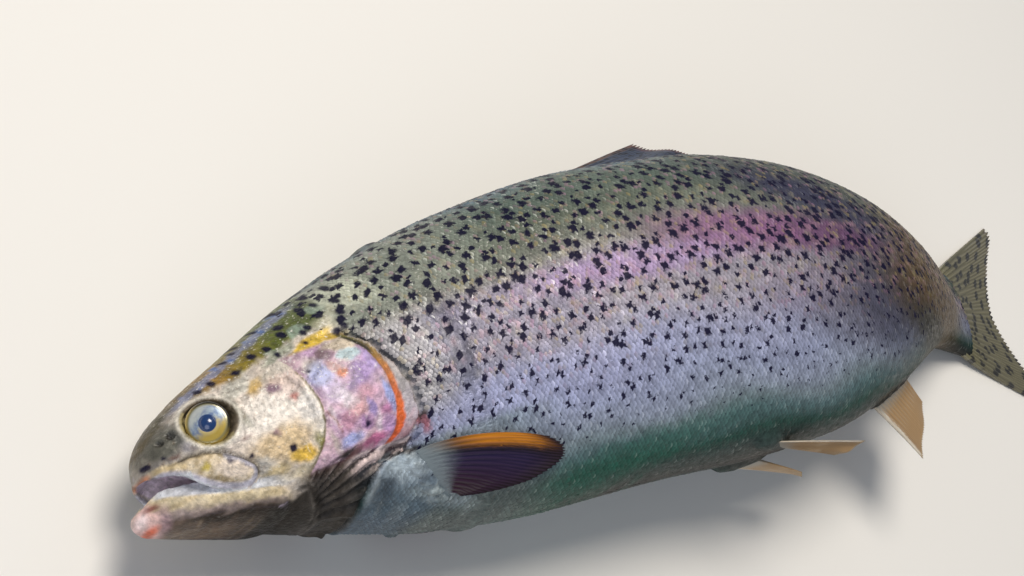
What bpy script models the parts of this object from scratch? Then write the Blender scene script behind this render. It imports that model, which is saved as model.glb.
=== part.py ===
# Rainbow trout, a life-size museum model lying on its right side, parted where the fish is named.
# Body frame while modelling, in millimetres: s runs back from the snout, v up to the back fin,
# u out to the fish's left.  Every mesh is then bent along the spine and turned into metres.
import bpy
import bmesh
import numpy as np
from mathutils import Vector

TOTAL_LENGTH = 450.0       # along the spine, snout to the tips of the tail
PLAN_LENGTH = 405.0        # the plan below is drawn for a fish this long
MM = 0.001 * TOTAL_LENGTH / PLAN_LENGTH
GAP = 0.28                 # clear cut between neighbouring pieces, on the plan
HEAD_LENGTH = 72.3
STALK_END = 358.0
FLOOR_LEVEL = -20.26       # height of the resting plane under the spine's start

# Stations down the body: place, back edge, belly edge, half width.
STATIONS = (
    (3.2, -1.7, -4.7, 1.8),       # snout tip
    (5.2, 2.6, -13.6, 6.8),
    (10.0, 7.4, -17.6, 12.1),     # nostrils
    (20.0, 13.2, -21.3, 16.9),    # eye
    (34.0, 19.2, -26.1, 20.2),    # behind the jaw
    (57.0, 29.1, -33.4, 25.6),    # gill cover
    (78.0, 36.3, -39.4, 28.9),    # shoulder
    (115.0, 44.1, -45.0, 30.9),
    (160.0, 48.6, -46.8, 32.6),   # deepest, where the back fin starts
    (195.0, 48.6, -48.4, 32.6),
    (231.0, 45.2, -46.2, 30.0),
    (271.0, 35.6, -35.6, 24.6),   # vent
    (296.0, 27.0, -26.2, 19.3),
    (320.0, 19.6, -18.6, 13.8),
    (340.0, 15.4, -14.9, 9.4),    # narrowest
    (360.0, 17.0, -16.4, 4.8),
)

# The resting bend.
HEAD_SLOPE = 0.0945    # the head end points a little down to the floor
ARCH = 0.541           # whole sideways bend, radians, nearly all behind the belly
ARCH_EASE = 1.79
DROOP = -0.18          # slow bend towards the belly
NOD = -0.006
FLATTEN = (332.0, 392.0)   # here the tail straightens out along the floor

EYE = dict(s=19.8, v=1.7, u=15.1, radius=5.5, bulge=2.0, depth=6.0)   # a flat-fronted ball
ROUND = 0.92           # 1 is an ellipse; less is a little boxier


def smooth(x):
    x = np.clip(x, 0.0, 1.0)
    return x * x * (3.0 - 2.0 * x)


def curve(xs, ys):
    """Monotone cubic through the stations."""
    x = np.asarray(xs, float)
    y = np.asarray(ys, float)
    h = np.diff(x)
    d = np.diff(y) / h
    m = np.zeros_like(y)
    w1 = 2 * h[1:] + h[:-1]
    w2 = h[1:] + 2 * h[:-1]
    for i in range(1, len(x) - 1):
        if d[i] * d[i - 1] > 0:
            m[i] = (w1[i - 1] + w2[i - 1]) / (w1[i - 1] / d[i - 1] + w2[i - 1] / d[i])
    m[0] = d[0]
    m[-1] = d[-1]

    def value(q):
        q = np.clip(np.asarray(q, float), x[0], x[-1])
        i = np.clip(np.searchsorted(x, q, side="right") - 1, 0, len(h) - 1)
        t = (q - x[i]) / h[i]
        return (y[i] * (1 + 2 * t) * (1 - t) ** 2 + h[i] * m[i] * t * (1 - t) ** 2
                + y[i + 1] * t * t * (3 - 2 * t) + h[i] * m[i + 1] * t * t * (t - 1))
    return value


TABLE = np.array(STATIONS)
back_edge = curve(TABLE[:, 0], TABLE[:, 1])
belly_edge = curve(TABLE[:, 0], TABLE[:, 2])
half_width = curve(TABLE[:, 0], TABLE[:, 3])

# Mouth: the palate line, the lower jaw's rim and the jaw's own outline.
palate = curve((3.2, 5.5, 8, 10, 12, 14.5, 20, 33), (-4.5, -5.4, -6.2, -7.4, -8.9, -10.9, -14.0, -18.1))
jaw_rim = curve((-1.7, 0.6, 4, 10, 20, 33), (-13.4, -11.4, -10.9, -12.8, -16.2, -18.8))
jaw_keel = curve((-1.7, 0.6, 4, 10, 20, 33), (-15.6, -17.6, -18.6, -20.1, -22.3, -25.9))
jaw_width = curve((-1.7, 0.6, 4, 10, 20, 33), (1.2, 3.7, 6.3, 9.9, 14.0, 17.2))
# Under the head, the gill membranes lie below this line.
throat_line = curve((30, 40, 55, 72), (-18.4, -20.4, -21.4, -21.4))
# The gill slit: how far back the head reaches at each height.
gill_slit = curve((-40, -33, -27, -21, -16.5, -12, -4), (52.0, 54.4, 58.4, 64.2, 68.6, 71.4, HEAD_LENGTH))
# Gill cover's front edge (the cheek bone) and free rear edge, along v.
cover_front = curve((-18.5, -12, -7.5, -3.6, 2.2, 7.2, 11.5), (39.0, 43.9, 45.4, 45.9, 44.9, 43.4, 41.5))
cover_rear = curve((-18.5, -17, -13, -8, -2, 3, 8, 11.5), (64.5, 67.5, 70.0, 70.4, 69.3, 67.0, 64.5, 61.0))
COVER_LOW = -18.3
COVER_HIGH = 11.5


def rounded(x):
    return np.sign(x) * np.abs(x) ** ROUND


def spine_table():
    """Spine point and the three body directions every half millimetre."""
    s = np.arange(-10.0, 470.1, 0.5)
    a = HEAD_SLOPE - ARCH * smooth(np.clip((s - 80) / 275, 0, 1) ** ARCH_EASE)
    a = a - (HEAD_SLOPE - ARCH) * smooth((s - FLATTEN[0]) / (FLATTEN[1] - FLATTEN[0]))
    b = DROOP * np.clip((s - 110) / 250, 0, 1.1) + NOD * (smooth((s - 75) / 50) - 1)
    along = np.stack([np.cos(a) * np.cos(b), np.cos(a) * np.sin(b), np.sin(a)], -1)
    left = np.stack([-np.sin(a) * np.cos(b), -np.sin(a) * np.sin(b), np.cos(a)], -1)
    up = np.cross(left, along)
    point = np.zeros_like(along)
    point[1:] = np.cumsum((along[1:] + along[:-1]) * 0.25, axis=0)
    point = point - point[20]
    return s, point, along, left, up


SPINE = spine_table()
CENTRE = (199.308, -6.196)     # brings the model's middle over the origin


def to_world(co):
    """Body millimetres to world metres: spine point + v * up + u * left, pressed flat on the floor."""
    s, point, along, left, up = SPINE
    pick = lambda table: np.stack([np.interp(co[:, 0], s, table[:, k]) for k in range(3)], -1)
    p = pick(point) + pick(up) * co[:, 1:2] + pick(left) * co[:, 2:3]
    p[:, 0] -= CENTRE[0]
    p[:, 1] -= CENTRE[1]
    p[:, 2] = np.maximum(p[:, 2] - FLOOR_LEVEL, 0.0)
    return p * MM


def material(name, colour, rough):
    mat = bpy.data.materials.new(name)
    mat.use_nodes = True
    node = mat.node_tree.nodes["Principled BSDF"]
    node.inputs["Base Color"].default_value = (*colour, 1.0)
    node.inputs["Roughness"].default_value = rough
    node.inputs["Metallic"].default_value = 0.0
    return mat


def cap(bm, ring, arc):
    """End face in level strips from one flank to the other; arc is how many points lie on the skin."""
    count = len(ring)
    if arc == count:
        pairs = [(ring[j], ring[count - j]) for j in range(1, count // 2)]
        bm.faces.new((ring[0], *pairs[0]))
        bm.faces.new((ring[count // 2], *pairs[-1]))
    else:
        pairs = [(ring[j], ring[arc - 1 - j]) for j in range(1, arc // 2)]
        bm.faces.new([ring[1], ring[0]] + list(ring[:arc - 1:-1]) + [ring[arc - 1], ring[arc - 2]])
    for (a, b), (c, d) in zip(pairs[:-1], pairs[1:]):
        bm.faces.new((a, c, d, b))


def closed_grid(name, grid, wrap, arc=None):
    """Object from rings of points; wrap closes each ring, and both ends get a cap."""
    rings, count = grid.shape[0], grid.shape[1]
    bm = bmesh.new()
    verts = [[bm.verts.new(grid[i, j]) for j in range(count)] for i in range(rings)]
    last = count if wrap else count - 1
    for i in range(rings - 1):
        for j in range(last):
            k = (j + 1) % count
            bm.faces.new((verts[i][j], verts[i][k], verts[i + 1][k], verts[i + 1][j]))
    for ring in (verts[0], verts[-1]):
        if arc is None:
            bm.faces.new(ring)
        else:
            cap(bm, ring, arc)
    bmesh.ops.recalc_face_normals(bm, faces=bm.faces)
    bmesh.ops.triangulate(bm, faces=bm.faces)
    if bm.calc_volume(signed=True) < 0:
        bmesh.ops.reverse_faces(bm, faces=bm.faces)
    mesh = bpy.data.meshes.new(name)
    bm.to_mesh(mesh)
    bm.free()
    obj = bpy.data.objects.new(name, mesh)
    return obj


def oval(s, count, top=None, low=None, slim=0.0):
    """One section of the body; parts of it above top or below low are cut level."""
    th = np.linspace(0, 2 * np.pi, count, endpoint=False) + 1e-4
    hi = back_edge(s)
    lo = belly_edge(s)
    mid = (hi + lo) / 2
    half = (hi - lo) / 2
    v = mid + half * rounded(np.cos(th))
    u = (half_width(s) - slim) * rounded(np.sin(th))
    if top is not None:
        v = np.minimum(v, top)
    if low is not None:
        v = np.maximum(v, low)
    return np.stack([np.full(count, s), v, u], -1)


def clipped_oval(s, count, line, keep_above):
    """The oval's arc on one side of a level line, closed by points along that line."""
    th = np.linspace(0, 2 * np.pi, 721)[:-1]
    hi = back_edge(s)
    lo = belly_edge(s)
    mid = (hi + lo) / 2
    half = (hi - lo) / 2
    c = np.clip((line - mid) / half, -0.98, 0.98)
    edge = np.arccos(np.sign(c) * np.abs(c) ** (1 / ROUND))
    arc = count - 5
    if keep_above:
        th = np.linspace(-edge, edge, arc)
    else:
        th = np.linspace(edge, 2 * np.pi - edge, arc)
    v = mid + half * rounded(np.cos(th))
    u = half_width(s) * rounded(np.sin(th))
    u_end = u[-1]
    back = np.linspace(u_end, u[0], 7)[1:-1]
    v = np.concatenate([v, np.full(5, v[-1])])
    u = np.concatenate([u, back])
    return np.stack([np.full(count, s), v, u], -1)


def boolean(obj, cutter, operation="DIFFERENCE"):
    mod = obj.modifiers.new("cut", "BOOLEAN")
    mod.operation = operation
    mod.solver = "EXACT"
    mod.object = cutter


def apply_modifiers(obj):
    deps = bpy.context.evaluated_depsgraph_get()
    mesh = bpy.data.meshes.new_from_object(obj.evaluated_get(deps))
    obj.modifiers.clear()
    obj.data = mesh


def patch(name, s_front, s_rear, v_low, v_high, outer, inner, across, along, side):
    """A plate lying on the flank: a grid over s and v with an outer and an inner face."""
    p = np.linspace(0, 1, along)
    q = np.linspace(0, 1, across)
    v = v_low + (v_high - v_low) * q
    front = s_front(v)
    rear = s_rear(v)
    s = front[:, None] + (rear - front)[:, None] * p[None, :]
    vv = np.repeat(v[:, None], along, 1)
    hi = back_edge(s)
    lo = belly_edge(s)
    mid = (hi + lo) / 2
    half = (hi - lo) / 2
    c = np.clip(np.abs(vv - mid) / half, 0, 0.999) ** (1 / ROUND)
    skin = half_width(s) * np.sqrt(1 - c ** 2) ** ROUND
    rings = []
    for i in range(across):
        out = np.stack([s[i], vv[i], side * (skin[i] + outer)], -1)
        deep = np.stack([s[i], vv[i], side * (skin[i] - inner)], -1)
        rings.append(np.concatenate([out, deep[::-1]]))
    return closed_grid(name, np.array(rings), True)


def fin(name, roots, tips, thick_root, thick_edge, steps, curl=None, side_dir=(0, 0, 1)):
    """A fan of rays from roots to tips; the web between has a front and a rear face."""
    roots = np.asarray(roots, float)
    tips = np.asarray(tips, float)
    n = np.asarray(side_dir, float)
    n = n / np.linalg.norm(n)
    t = np.linspace(0, 1, steps)
    rays = len(roots)
    rings = []
    for j in range(steps):
        mid = roots + (tips - roots) * t[j]
        if curl is not None:
            mid = mid + curl(t[j])
        half = (thick_root + (thick_edge - thick_root) * t[j] ** 0.6) / 2
        ridge = half * (1.0 + 0.18 * np.cos(np.pi * np.arange(rays)))[:, None]
        front = mid + n * ridge
        rear = mid - n * ridge
        rings.append(np.concatenate([front, rear[::-1]]))
    return closed_grid(name, np.array(rings), True)


# ---------------------------------------------------------------- make the pieces
for old in list(bpy.data.objects):
    bpy.data.objects.remove(old, do_unlink=True)

fish = bpy.data.collections.new("rainbow_trout")
cutters = bpy.data.collections.new("cutters")
bpy.context.scene.collection.children.link(fish)
bpy.context.scene.collection.children.link(cutters)

OLIVE = material("olive_back", (0.12, 0.13, 0.05), 0.35)
SILVER = material("silver_flank", (0.36, 0.35, 0.38), 0.3)
CHEEK = material("silver_cheek", (0.55, 0.50, 0.42), 0.28)
ROSE = material("rose_cover", (0.42, 0.22, 0.36), 0.3)
DARK = material("dark_throat", (0.10, 0.10, 0.09), 0.45)
AMBER = material("amber_fin", (0.22, 0.12, 0.07), 0.4)
GLASS = material("eye_glass", (0.03, 0.05, 0.10), 0.08)


def add(obj, mat, where=fish):
    where.objects.link(obj)
    obj.data.materials.clear()
    obj.data.materials.append(mat)
    if where is cutters:
        obj.hide_render = True
        obj.display_type = "WIRE"
    return obj


def loft(name, stations, count, mat):
    rings = np.array([oval(s, count) for s in stations])
    return add(closed_grid(name, rings, True), mat)


def skin_at(s, v):
    """Half width of the body at height v."""
    hi = back_edge(s)
    lo = belly_edge(s)
    c = np.clip(np.abs(v - (hi + lo) / 2) / ((hi - lo) / 2), 0, 1) ** (1 / ROUND)
    return half_width(s) * np.sqrt(1 - c ** 2) ** ROUND


def lean(rings, spread, gap):
    """Slide the rings along the body so that the end one follows the gill slit."""
    s, v, u = rings[:, :, 0], rings[:, :, 1], rings[:, :, 2]
    share = np.clip(1 - np.abs(s - HEAD_LENGTH - gap) / spread, 0, 1)
    moved = s + (gill_slit(v) - HEAD_LENGTH) * share
    squeeze = np.where(v < -20, (belly_edge(moved) + 20) / (belly_edge(s) + 20), 1.0)
    below = np.clip((-20 - v) / 8, 0, 1)
    height = np.where(v < -20, v + ((-20 + (v + 20) * squeeze) - v) * smooth(below), v)
    width = u * skin_at(moved, height) / np.maximum(skin_at(s, v), 0.3)
    on_edge = skin_at(s, v) < 1.0
    return np.stack([moved, height, np.where(on_edge, u, width)], -1)


# Trunk, in three lengths, and the tail stalk.
stations = [HEAD_LENGTH + 5 * GAP, 79.0, 86.0, 95.0, 105.0, 115.0, 126.0, 137.0]
rings = lean(np.array([oval(s, 36) for s in stations]), 40.0, 5 * GAP)
trunk_front = add(closed_grid("trunk_front", rings, True, 36), SILVER)
trunk_mid = loft("trunk_mid", np.linspace(137.0 + GAP, 212.0, 8), 36, SILVER)
trunk_rear = loft("trunk_rear", np.linspace(212.0 + GAP, 287.0, 9), 36, SILVER)
tail_stalk = loft("tail_stalk", np.linspace(287.0 + GAP, STALK_END, 10), 32, OLIVE)

# Head above the mouth and above the throat line.
rings = []
for s in (3.2, 3.9, 5.2, 7.2, 10.0, 14.5, 20.0, 25.0, 29.0, 32.0):
    rings.append(clipped_oval(s, 37, float(palate(s)), True))
for s in (33.6, 38.0, 43.0, 48.0, 53.5, 59.5, 65.5, HEAD_LENGTH):
    rings.append(clipped_oval(s, 37, float(throat_line(s)) + GAP, True))
head = add(closed_grid("head", lean(np.array(rings), 16.0, 0.0), True, 32), CHEEK)

# Gill membranes and throat under it.
rings = [clipped_oval(s, 25, float(throat_line(s)), False)
         for s in (34.4, 40.0, 46.0, 52.0, 58.0, 65.0, HEAD_LENGTH)]
throat = add(closed_grid("throat", lean(np.array(rings), 36.5, 0.0), True, 20), DARK)


def jaw_ring(s, count=24):
    """Lower jaw section: a flat rim, a rounded keel."""
    rim = float(jaw_rim(s))
    keel = float(jaw_keel(s))
    wide = float(jaw_width(s))
    th = np.linspace(0, np.pi, count - 5)
    v = rim - (rim - keel) * np.sin(th) ** 0.8
    u = wide * np.sign(np.cos(th)) * np.abs(np.cos(th)) ** 0.8
    across = np.linspace(-wide, wide, 7)[1:-1]
    dish = rim - 0.12 * wide * (1 - (across / wide) ** 2)
    v = np.concatenate([v, dish])
    u = np.concatenate([u, across])
    return np.stack([np.full(count, s), v, u], -1)


rings = [jaw_ring(s) for s in (-1.7, -1.0, 0.6, 2.8, 6.0, 11.0, 16.0, 22.0, 27.0, 31.7)]
lower_jaw = add(closed_grid("lower_jaw", np.array(rings), True), CHEEK)

# Gill covers, each a plate let into the side of the head.
for side, word in ((1, "left"), (-1, "right")):
    cover = patch("gill_cover_" + word, cover_front, cover_rear, COVER_LOW, COVER_HIGH,
                  0.5, 2.2, 11, 9, side)
    add(cover, ROSE)
    pocket = patch("pocket_" + word, lambda v: cover_front(v) - GAP, lambda v: cover_rear(v) + GAP,
                   COVER_LOW - GAP, COVER_HIGH + GAP, 3.0, 2.2 + GAP, 10, 7, side)
    add(pocket, ROSE, cutters)
    boolean(head, pocket)

# Upper jaw bones.
jaw_bone_top = curve((4.6, 8.5, 11.9, 14.8, 18, 22.4, 26.8), (-3.7, -4.1, -4.7, -5.0, -5.9, -8.2, -11.8))
jaw_bone_low = curve((4.6, 6.3, 8, 10.4, 12, 14.4, 17.6, 21.6, 24.5, 26.8),
                     (-5.7, -6.3, -7.2, -8.6, -10.2, -12.4, -14.4, -15.8, -16.2, -14.9))
for side, word in ((1, "left"), (-1, "right")):
    for grow, inner, outer in ((0.0, 1.2, 0.9), (GAP, 1.2 + GAP, 4.0)):
        s = np.linspace(6.2 - grow, 26.6 + grow, 10)
        rings = []
        for x in s:
            top = float(jaw_bone_top(x)) + grow
            low = float(jaw_bone_low(x)) - grow
            v = np.linspace(low, top, 6)
            hi = float(back_edge(x))
            lo = float(belly_edge(x))
            mid = (hi + lo) / 2
            c = np.clip(np.abs(v - mid) / ((hi - lo) / 2), 0, 0.999) ** (1 / ROUND)
            skin = float(half_width(x)) * np.sqrt(1 - c ** 2) ** ROUND
            crown = np.sin(np.linspace(0, np.pi, 6)) * 0.4
            out = np.stack([np.full(6, x), v, side * (skin + outer - 0.4 + crown)], -1)
            deep = np.stack([np.full(6, x), v, side * (skin - inner)], -1)
            rings.append(np.concatenate([out, deep[::-1]]))
        if grow == 0.0:
            add(closed_grid("upper_jaw_bone_" + word, np.array(rings), True), CHEEK)
        else:
            cut = add(closed_grid("bone_pocket_" + word, np.array(rings), True), CHEEK, cutters)
            boolean(head, cut)
            boolean(lower_jaw, cut)

# Eyes, and the sockets they sit in.
for side, word in ((1, "left"), (-1, "right")):
    for name, grow, where in (("eye_" + word, 0.0, fish), ("socket_" + word, GAP, cutters)):
        bm = bmesh.new()
        bmesh.ops.create_uvsphere(bm, u_segments=20, v_segments=10, radius=1.0)
        for vert in bm.verts:
            x, y, z = vert.co
            thick = (EYE["bulge"] if z > 0 else EYE["depth"]) + grow
            vert.co = (EYE["s"] + x * (EYE["radius"] + grow), EYE["v"] + y * (EYE["radius"] + grow),
                       side * (EYE["u"] + z * thick))
        if side < 0:
            bmesh.ops.reverse_faces(bm, faces=bm.faces)
        bmesh.ops.triangulate(bm, faces=bm.faces)
        mesh = bpy.data.meshes.new(name)
        bm.to_mesh(mesh)
        bm.free()
        ball = add(bpy.data.objects.new(name, mesh), GLASS, where)
        if where is cutters:
            boolean(head, ball)


def flank(s, v, side, off):
    """Point on the flank at height v, lifted off it by off."""
    hi = back_edge(s)
    lo = belly_edge(s)
    mid = (hi + lo) / 2
    c = np.clip(np.abs(v - mid) / ((hi - lo) / 2), 0, 0.999) ** (1 / ROUND)
    u = half_width(s) * np.sqrt(1 - c ** 2) ** ROUND
    return np.stack([s, v, side * (u + off)], -1)


def belly_at(s, u):
    """Height of the underside at a distance u from the midline."""
    hi = back_edge(s)
    lo = belly_edge(s)
    c = np.clip(np.abs(u) / half_width(s), 0, 0.999) ** (1 / ROUND)
    return (hi + lo) / 2 - (hi - lo) / 2 * np.sqrt(1 - c ** 2) ** ROUND


# Breast fins, folded back along the lower flank.
for side, word in ((1, "left"), (-1, "right")):
    k = np.linspace(0, 1, 11)
    root_s = 64.0 + 3.0 * k
    root_v = -22.3 - 8.0 * k
    roots = flank(root_s, root_v, side, 1.7)
    reach = 48.5 * (1 - 0.70 * k ** 1.7)
    tip_s = root_s + reach * np.cos(0.23 + 0.22 * k)
    tip_v = root_v - reach * np.sin(0.23 + 0.22 * k)
    tips = flank(tip_s, tip_v, side, 0.0)
    tips[:, 2] = roots[:, 2] + side * (4.5 - 2.5 * k)
    add(fin("pectoral_fin_" + word, roots, tips, 1.8, 0.7, 7, side_dir=(0.0, -0.3, side)), AMBER)

# Belly fins.
for side, word in ((1, "left"), (-1, "right")):
    k = np.linspace(0, 1, 8)
    root_s = 192.0 + 8.5 * k
    root_u = 10.5 - 5.0 * k
    roots = np.stack([root_s, belly_at(root_s, root_u) - 1.5, side * root_u], -1)
    reach = 37.0 - 17.0 * k
    tips = roots + np.stack([reach * 0.93, -reach * (0.16 + 0.12 * k), side * reach * 0.10 + 0 * k], -1)
    add(fin("pelvic_fin_" + word, roots, tips, 1.8, 0.7, 6, side_dir=(0.1, -0.75, side * 0.65)), AMBER)

# Back fin, folded down and leaning over to the fish's right.
k = np.linspace(0, 1, 13)
root_s = 163.0 + 51.0 * k
roots = np.stack([root_s, back_edge(root_s) + 0.45, 0 * k], -1)
reach = 40.0 - 21.0 * k
tips = roots + np.stack([reach * 0.965, reach * (0.21 - 0.12 * k), -reach * 0.12 + 0 * k], -1)
add(fin("dorsal_fin", roots, tips, 1.8, 0.7, 6, side_dir=(0, 0.6, 1)), OLIVE)

# Small fat fin.
k = np.linspace(0, 1, 6)
root_s = 297.0 + 7.0 * k
roots = np.stack([root_s, back_edge(root_s) + 0.4, 0 * k], -1)
tips = roots + np.stack([13.0 - 5.0 * k, 6.5 - 4.5 * k, 0 * k], -1)
add(fin("adipose_fin", roots, tips, 2.2, 1.0, 5), OLIVE)

# Vent fin.
k = np.linspace(0, 1, 10)
root_s = 258.0 + 27.0 * k
roots = np.stack([root_s, belly_edge(root_s) - 0.5, 0 * k], -1)
reach = 27.0 - 15.0 * k
tips = roots + np.stack([reach * 0.66, -reach * 0.68, 0.0 * k], -1)
add(fin("anal_fin", roots, tips, 1.8, 0.7, 6), AMBER)

# Tail fin, opened out flat.
k = np.linspace(-1, 1, 19)
roots = np.stack([STALK_END + 0.4 + 3.0 * (1 - k ** 2), 0.4 + 16.0 * k, 0 * k], -1)
lobe = np.clip((1 - np.abs(k)) / 0.14, 0, 1) ** 0.5
tips = np.stack([387.0 + 18.5 * np.abs(k) ** 1.5 * (0.72 + 0.28 * lobe),
                 0.5 + 37.0 * np.sign(k) * np.abs(k) ** 0.95, 0 * k - 0.45], -1)
add(fin("tail_fin", roots, tips, 3.4, 0.9, 8), OLIVE)

# ---------------------------------------------------------------- bend everything into its rest
for obj in list(fish.objects):
    if obj.modifiers:
        apply_modifiers(obj)
for obj in list(fish.objects):
    mesh = obj.data
    co = np.empty(len(mesh.vertices) * 3)
    mesh.vertices.foreach_get("co", co)
    world = to_world(co.reshape(-1, 3))
    middle = (world.min(0) + world.max(0)) / 2
    mesh.vertices.foreach_set("co", (world - middle).ravel())
    obj.location = Vector(middle)
    mesh.update()
    mesh.shade_smooth()
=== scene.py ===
import bpy
import numpy as np
from mathutils import Matrix, Vector


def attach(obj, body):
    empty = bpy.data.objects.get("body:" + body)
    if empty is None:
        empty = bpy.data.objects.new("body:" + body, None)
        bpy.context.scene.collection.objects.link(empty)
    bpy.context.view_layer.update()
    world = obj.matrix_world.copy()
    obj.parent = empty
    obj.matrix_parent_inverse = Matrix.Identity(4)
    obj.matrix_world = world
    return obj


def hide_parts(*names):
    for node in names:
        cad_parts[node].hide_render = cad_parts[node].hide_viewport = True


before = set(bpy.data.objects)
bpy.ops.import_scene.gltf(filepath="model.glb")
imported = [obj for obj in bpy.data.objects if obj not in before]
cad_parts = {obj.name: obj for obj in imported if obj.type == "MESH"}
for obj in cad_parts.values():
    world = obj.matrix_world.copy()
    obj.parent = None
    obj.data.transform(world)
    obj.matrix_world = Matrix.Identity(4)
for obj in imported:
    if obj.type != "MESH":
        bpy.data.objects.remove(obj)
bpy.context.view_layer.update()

# A life-size rainbow trout lying on its right side.
# Body places are in millimetres on a plan 405 long: s back from the snout, v up to the back fin,
# u out to the fish's left.  Each surface is made straight and then bent along the spine.
body = dict(
    stations=((3.2, -1.7, -4.7, 1.8), (5.2, 2.6, -13.6, 6.8), (10.0, 7.4, -17.6, 12.1),
              (20.0, 13.2, -21.3, 16.9), (34.0, 19.2, -26.1, 20.2), (57.0, 29.1, -33.4, 25.6),
              (78.0, 36.3, -39.4, 28.9), (115.0, 44.1, -45.0, 30.9), (160.0, 48.6, -46.8, 32.6),
              (195.0, 48.6, -48.4, 32.6), (231.0, 45.2, -46.2, 30.0), (271.0, 35.6, -35.6, 24.6),
              (296.0, 27.0, -26.2, 19.3), (320.0, 19.6, -18.6, 13.8), (340.0, 15.4, -14.9, 9.4),
              (360.0, 17.0, -16.4, 4.8)),          # place, back edge, belly edge, half width
    totalLength=450.0, planLength=405.0, roundness=0.92,
    headSlope=0.0945, arch=0.541, archEase=1.79, droop=-0.18, nod=-0.006, flatten=(332.0, 392.0),
    floorLevel=-20.26, centre=(199.308, -6.196), stalkEnd=358.0)


def smoothStep(x):
    x = np.clip(x, 0.0, 1.0)                       # 3x^2 - 2x^3
    return x * x * (3.0 - 2.0 * x)


def rise(x, start, length):
    return smoothStep((x - start) / length)


def fall(x, start, length):
    return 1 - rise(x, start, length)


def hump(x, width, power=2):
    return np.exp(-(x / width) ** power)


def curveThrough(xs, ys):
    # cubic through the stations that never overshoots them: each slope is a weighted harmonic mean
    x, y = np.asarray(xs, float), np.asarray(ys, float)
    h = np.diff(x)
    d = np.diff(y) / h
    m = np.zeros_like(y)
    w1, w2 = 2 * h[1:] + h[:-1], h[1:] + 2 * h[:-1]
    same = d[1:] * d[:-1] > 0
    safe = np.where(same, d[1:] * d[:-1], 1.0)
    m[1:-1] = np.where(same, (w1 + w2) * safe / (w1 * d[1:] + w2 * d[:-1] + (~same) * 1e9), 0.0)
    m[0], m[-1] = d[0], d[-1]

    def value(q):
        q = np.clip(np.asarray(q, float), x[0], x[-1])
        i = np.clip(np.searchsorted(x, q, side="right") - 1, 0, len(h) - 1)
        t = (q - x[i]) / h[i]
        return (y[i] * (1 + 2 * t) * (1 - t) ** 2 + h[i] * m[i] * t * (1 - t) ** 2
                + y[i + 1] * t * t * (3 - 2 * t) + h[i] * m[i + 1] * t * t * (t - 1))
    return value


sides = (1, "left"), (-1, "right")

stationTable = np.array(body["stations"])
backEdge, bellyEdge, halfWidth = [curveThrough(stationTable[:, 0], stationTable[:, i]) for i in (1, 2, 3)]


def rounded(x, power=body["roundness"]):
    return np.sign(x) * np.abs(x) ** power


def unrounded(x):
    return rounded(x, 1 / body["roundness"])


def spineTable():
    # the spine's heading turns sideways by a and towards the belly by b; its place is their running sum
    s = np.arange(-10.0, 470.1, 0.5)
    a = body["headSlope"] - body["arch"] * smoothStep(np.clip((s - 80) / 275, 0, 1) ** body["archEase"])
    flatStart, flatEnd = body["flatten"]
    a = a - (body["headSlope"] - body["arch"]) * smoothStep((s - flatStart) / (flatEnd - flatStart))
    b = body["droop"] * np.clip((s - 110) / 250, 0, 1.1) + body["nod"] * (rise(s, 75, 50) - 1)
    along = np.stack([np.cos(a) * np.cos(b), np.cos(a) * np.sin(b), np.sin(a)], -1)
    left = np.stack([-np.sin(a) * np.cos(b), -np.sin(a) * np.sin(b), np.cos(a)], -1)
    up = np.cross(left, along)
    point = np.zeros_like(along)
    point[1:] = np.cumsum((along[1:] + along[:-1]) * 0.25, axis=0)
    return s, point - point[20], along, left, up          # point 20 is at place 0


spine = spineTable()
metre = 0.001 * body["totalLength"] / body["planLength"]


def bend(co):
    # spine point + v * up + u * left, lowered to the floor, in metres
    s, point, along, left, up = spine
    def pick(table):
        return np.stack([np.interp(co[:, 0], s, table[:, k]) for k in range(3)], -1)
    p = pick(point) + pick(up) * co[:, 1:2] + pick(left) * co[:, 2:3]
    p -= np.array([*body["centre"], body["floorLevel"]])
    p[:, 2] = np.maximum(p[:, 2], 0.0)
    return p * metre


def midAndHalf(s):
    return (backEdge(s) + bellyEdge(s)) / 2, (backEdge(s) - bellyEdge(s)) / 2


def skinAt(s, v):
    # half width of the oval section at height v
    mid, half = midAndHalf(s)
    c = unrounded(np.clip(np.abs(v - mid) / half, 0, 0.9995))
    return halfWidth(s) * rounded(np.sqrt(1 - c ** 2))


def onOval(s, angle, inset=0.0):
    # angle 0 is the back, pi the belly; positive angles are the fish's left
    mid, half = midAndHalf(s)
    return np.stack([s + 0 * angle, mid + (half - inset) * rounded(np.cos(angle)),
                     (halfWidth(s) - inset) * rounded(np.sin(angle))], -1)


# Share of the way round from the back to the belly, for each place and angle.
girthPlaces = np.arange(0.0, 367.0)
girthAngles = np.linspace(0, np.pi, 181)
girthPoints = onOval(np.maximum(girthPlaces, 3.3)[:, None], girthAngles[None, :])
girthSteps = np.linalg.norm(np.diff(girthPoints[:, :, 1:], axis=1), axis=-1)
girthArc = np.concatenate([np.zeros((len(girthPlaces), 1)), np.cumsum(girthSteps, axis=1)], axis=1)
halfGirth = girthArc[:, -1]
shareTable = girthArc / halfGirth[:, None]
angleTable = np.array([np.interp(np.linspace(0, 1, 181), row, girthAngles) for row in shareTable])


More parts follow.
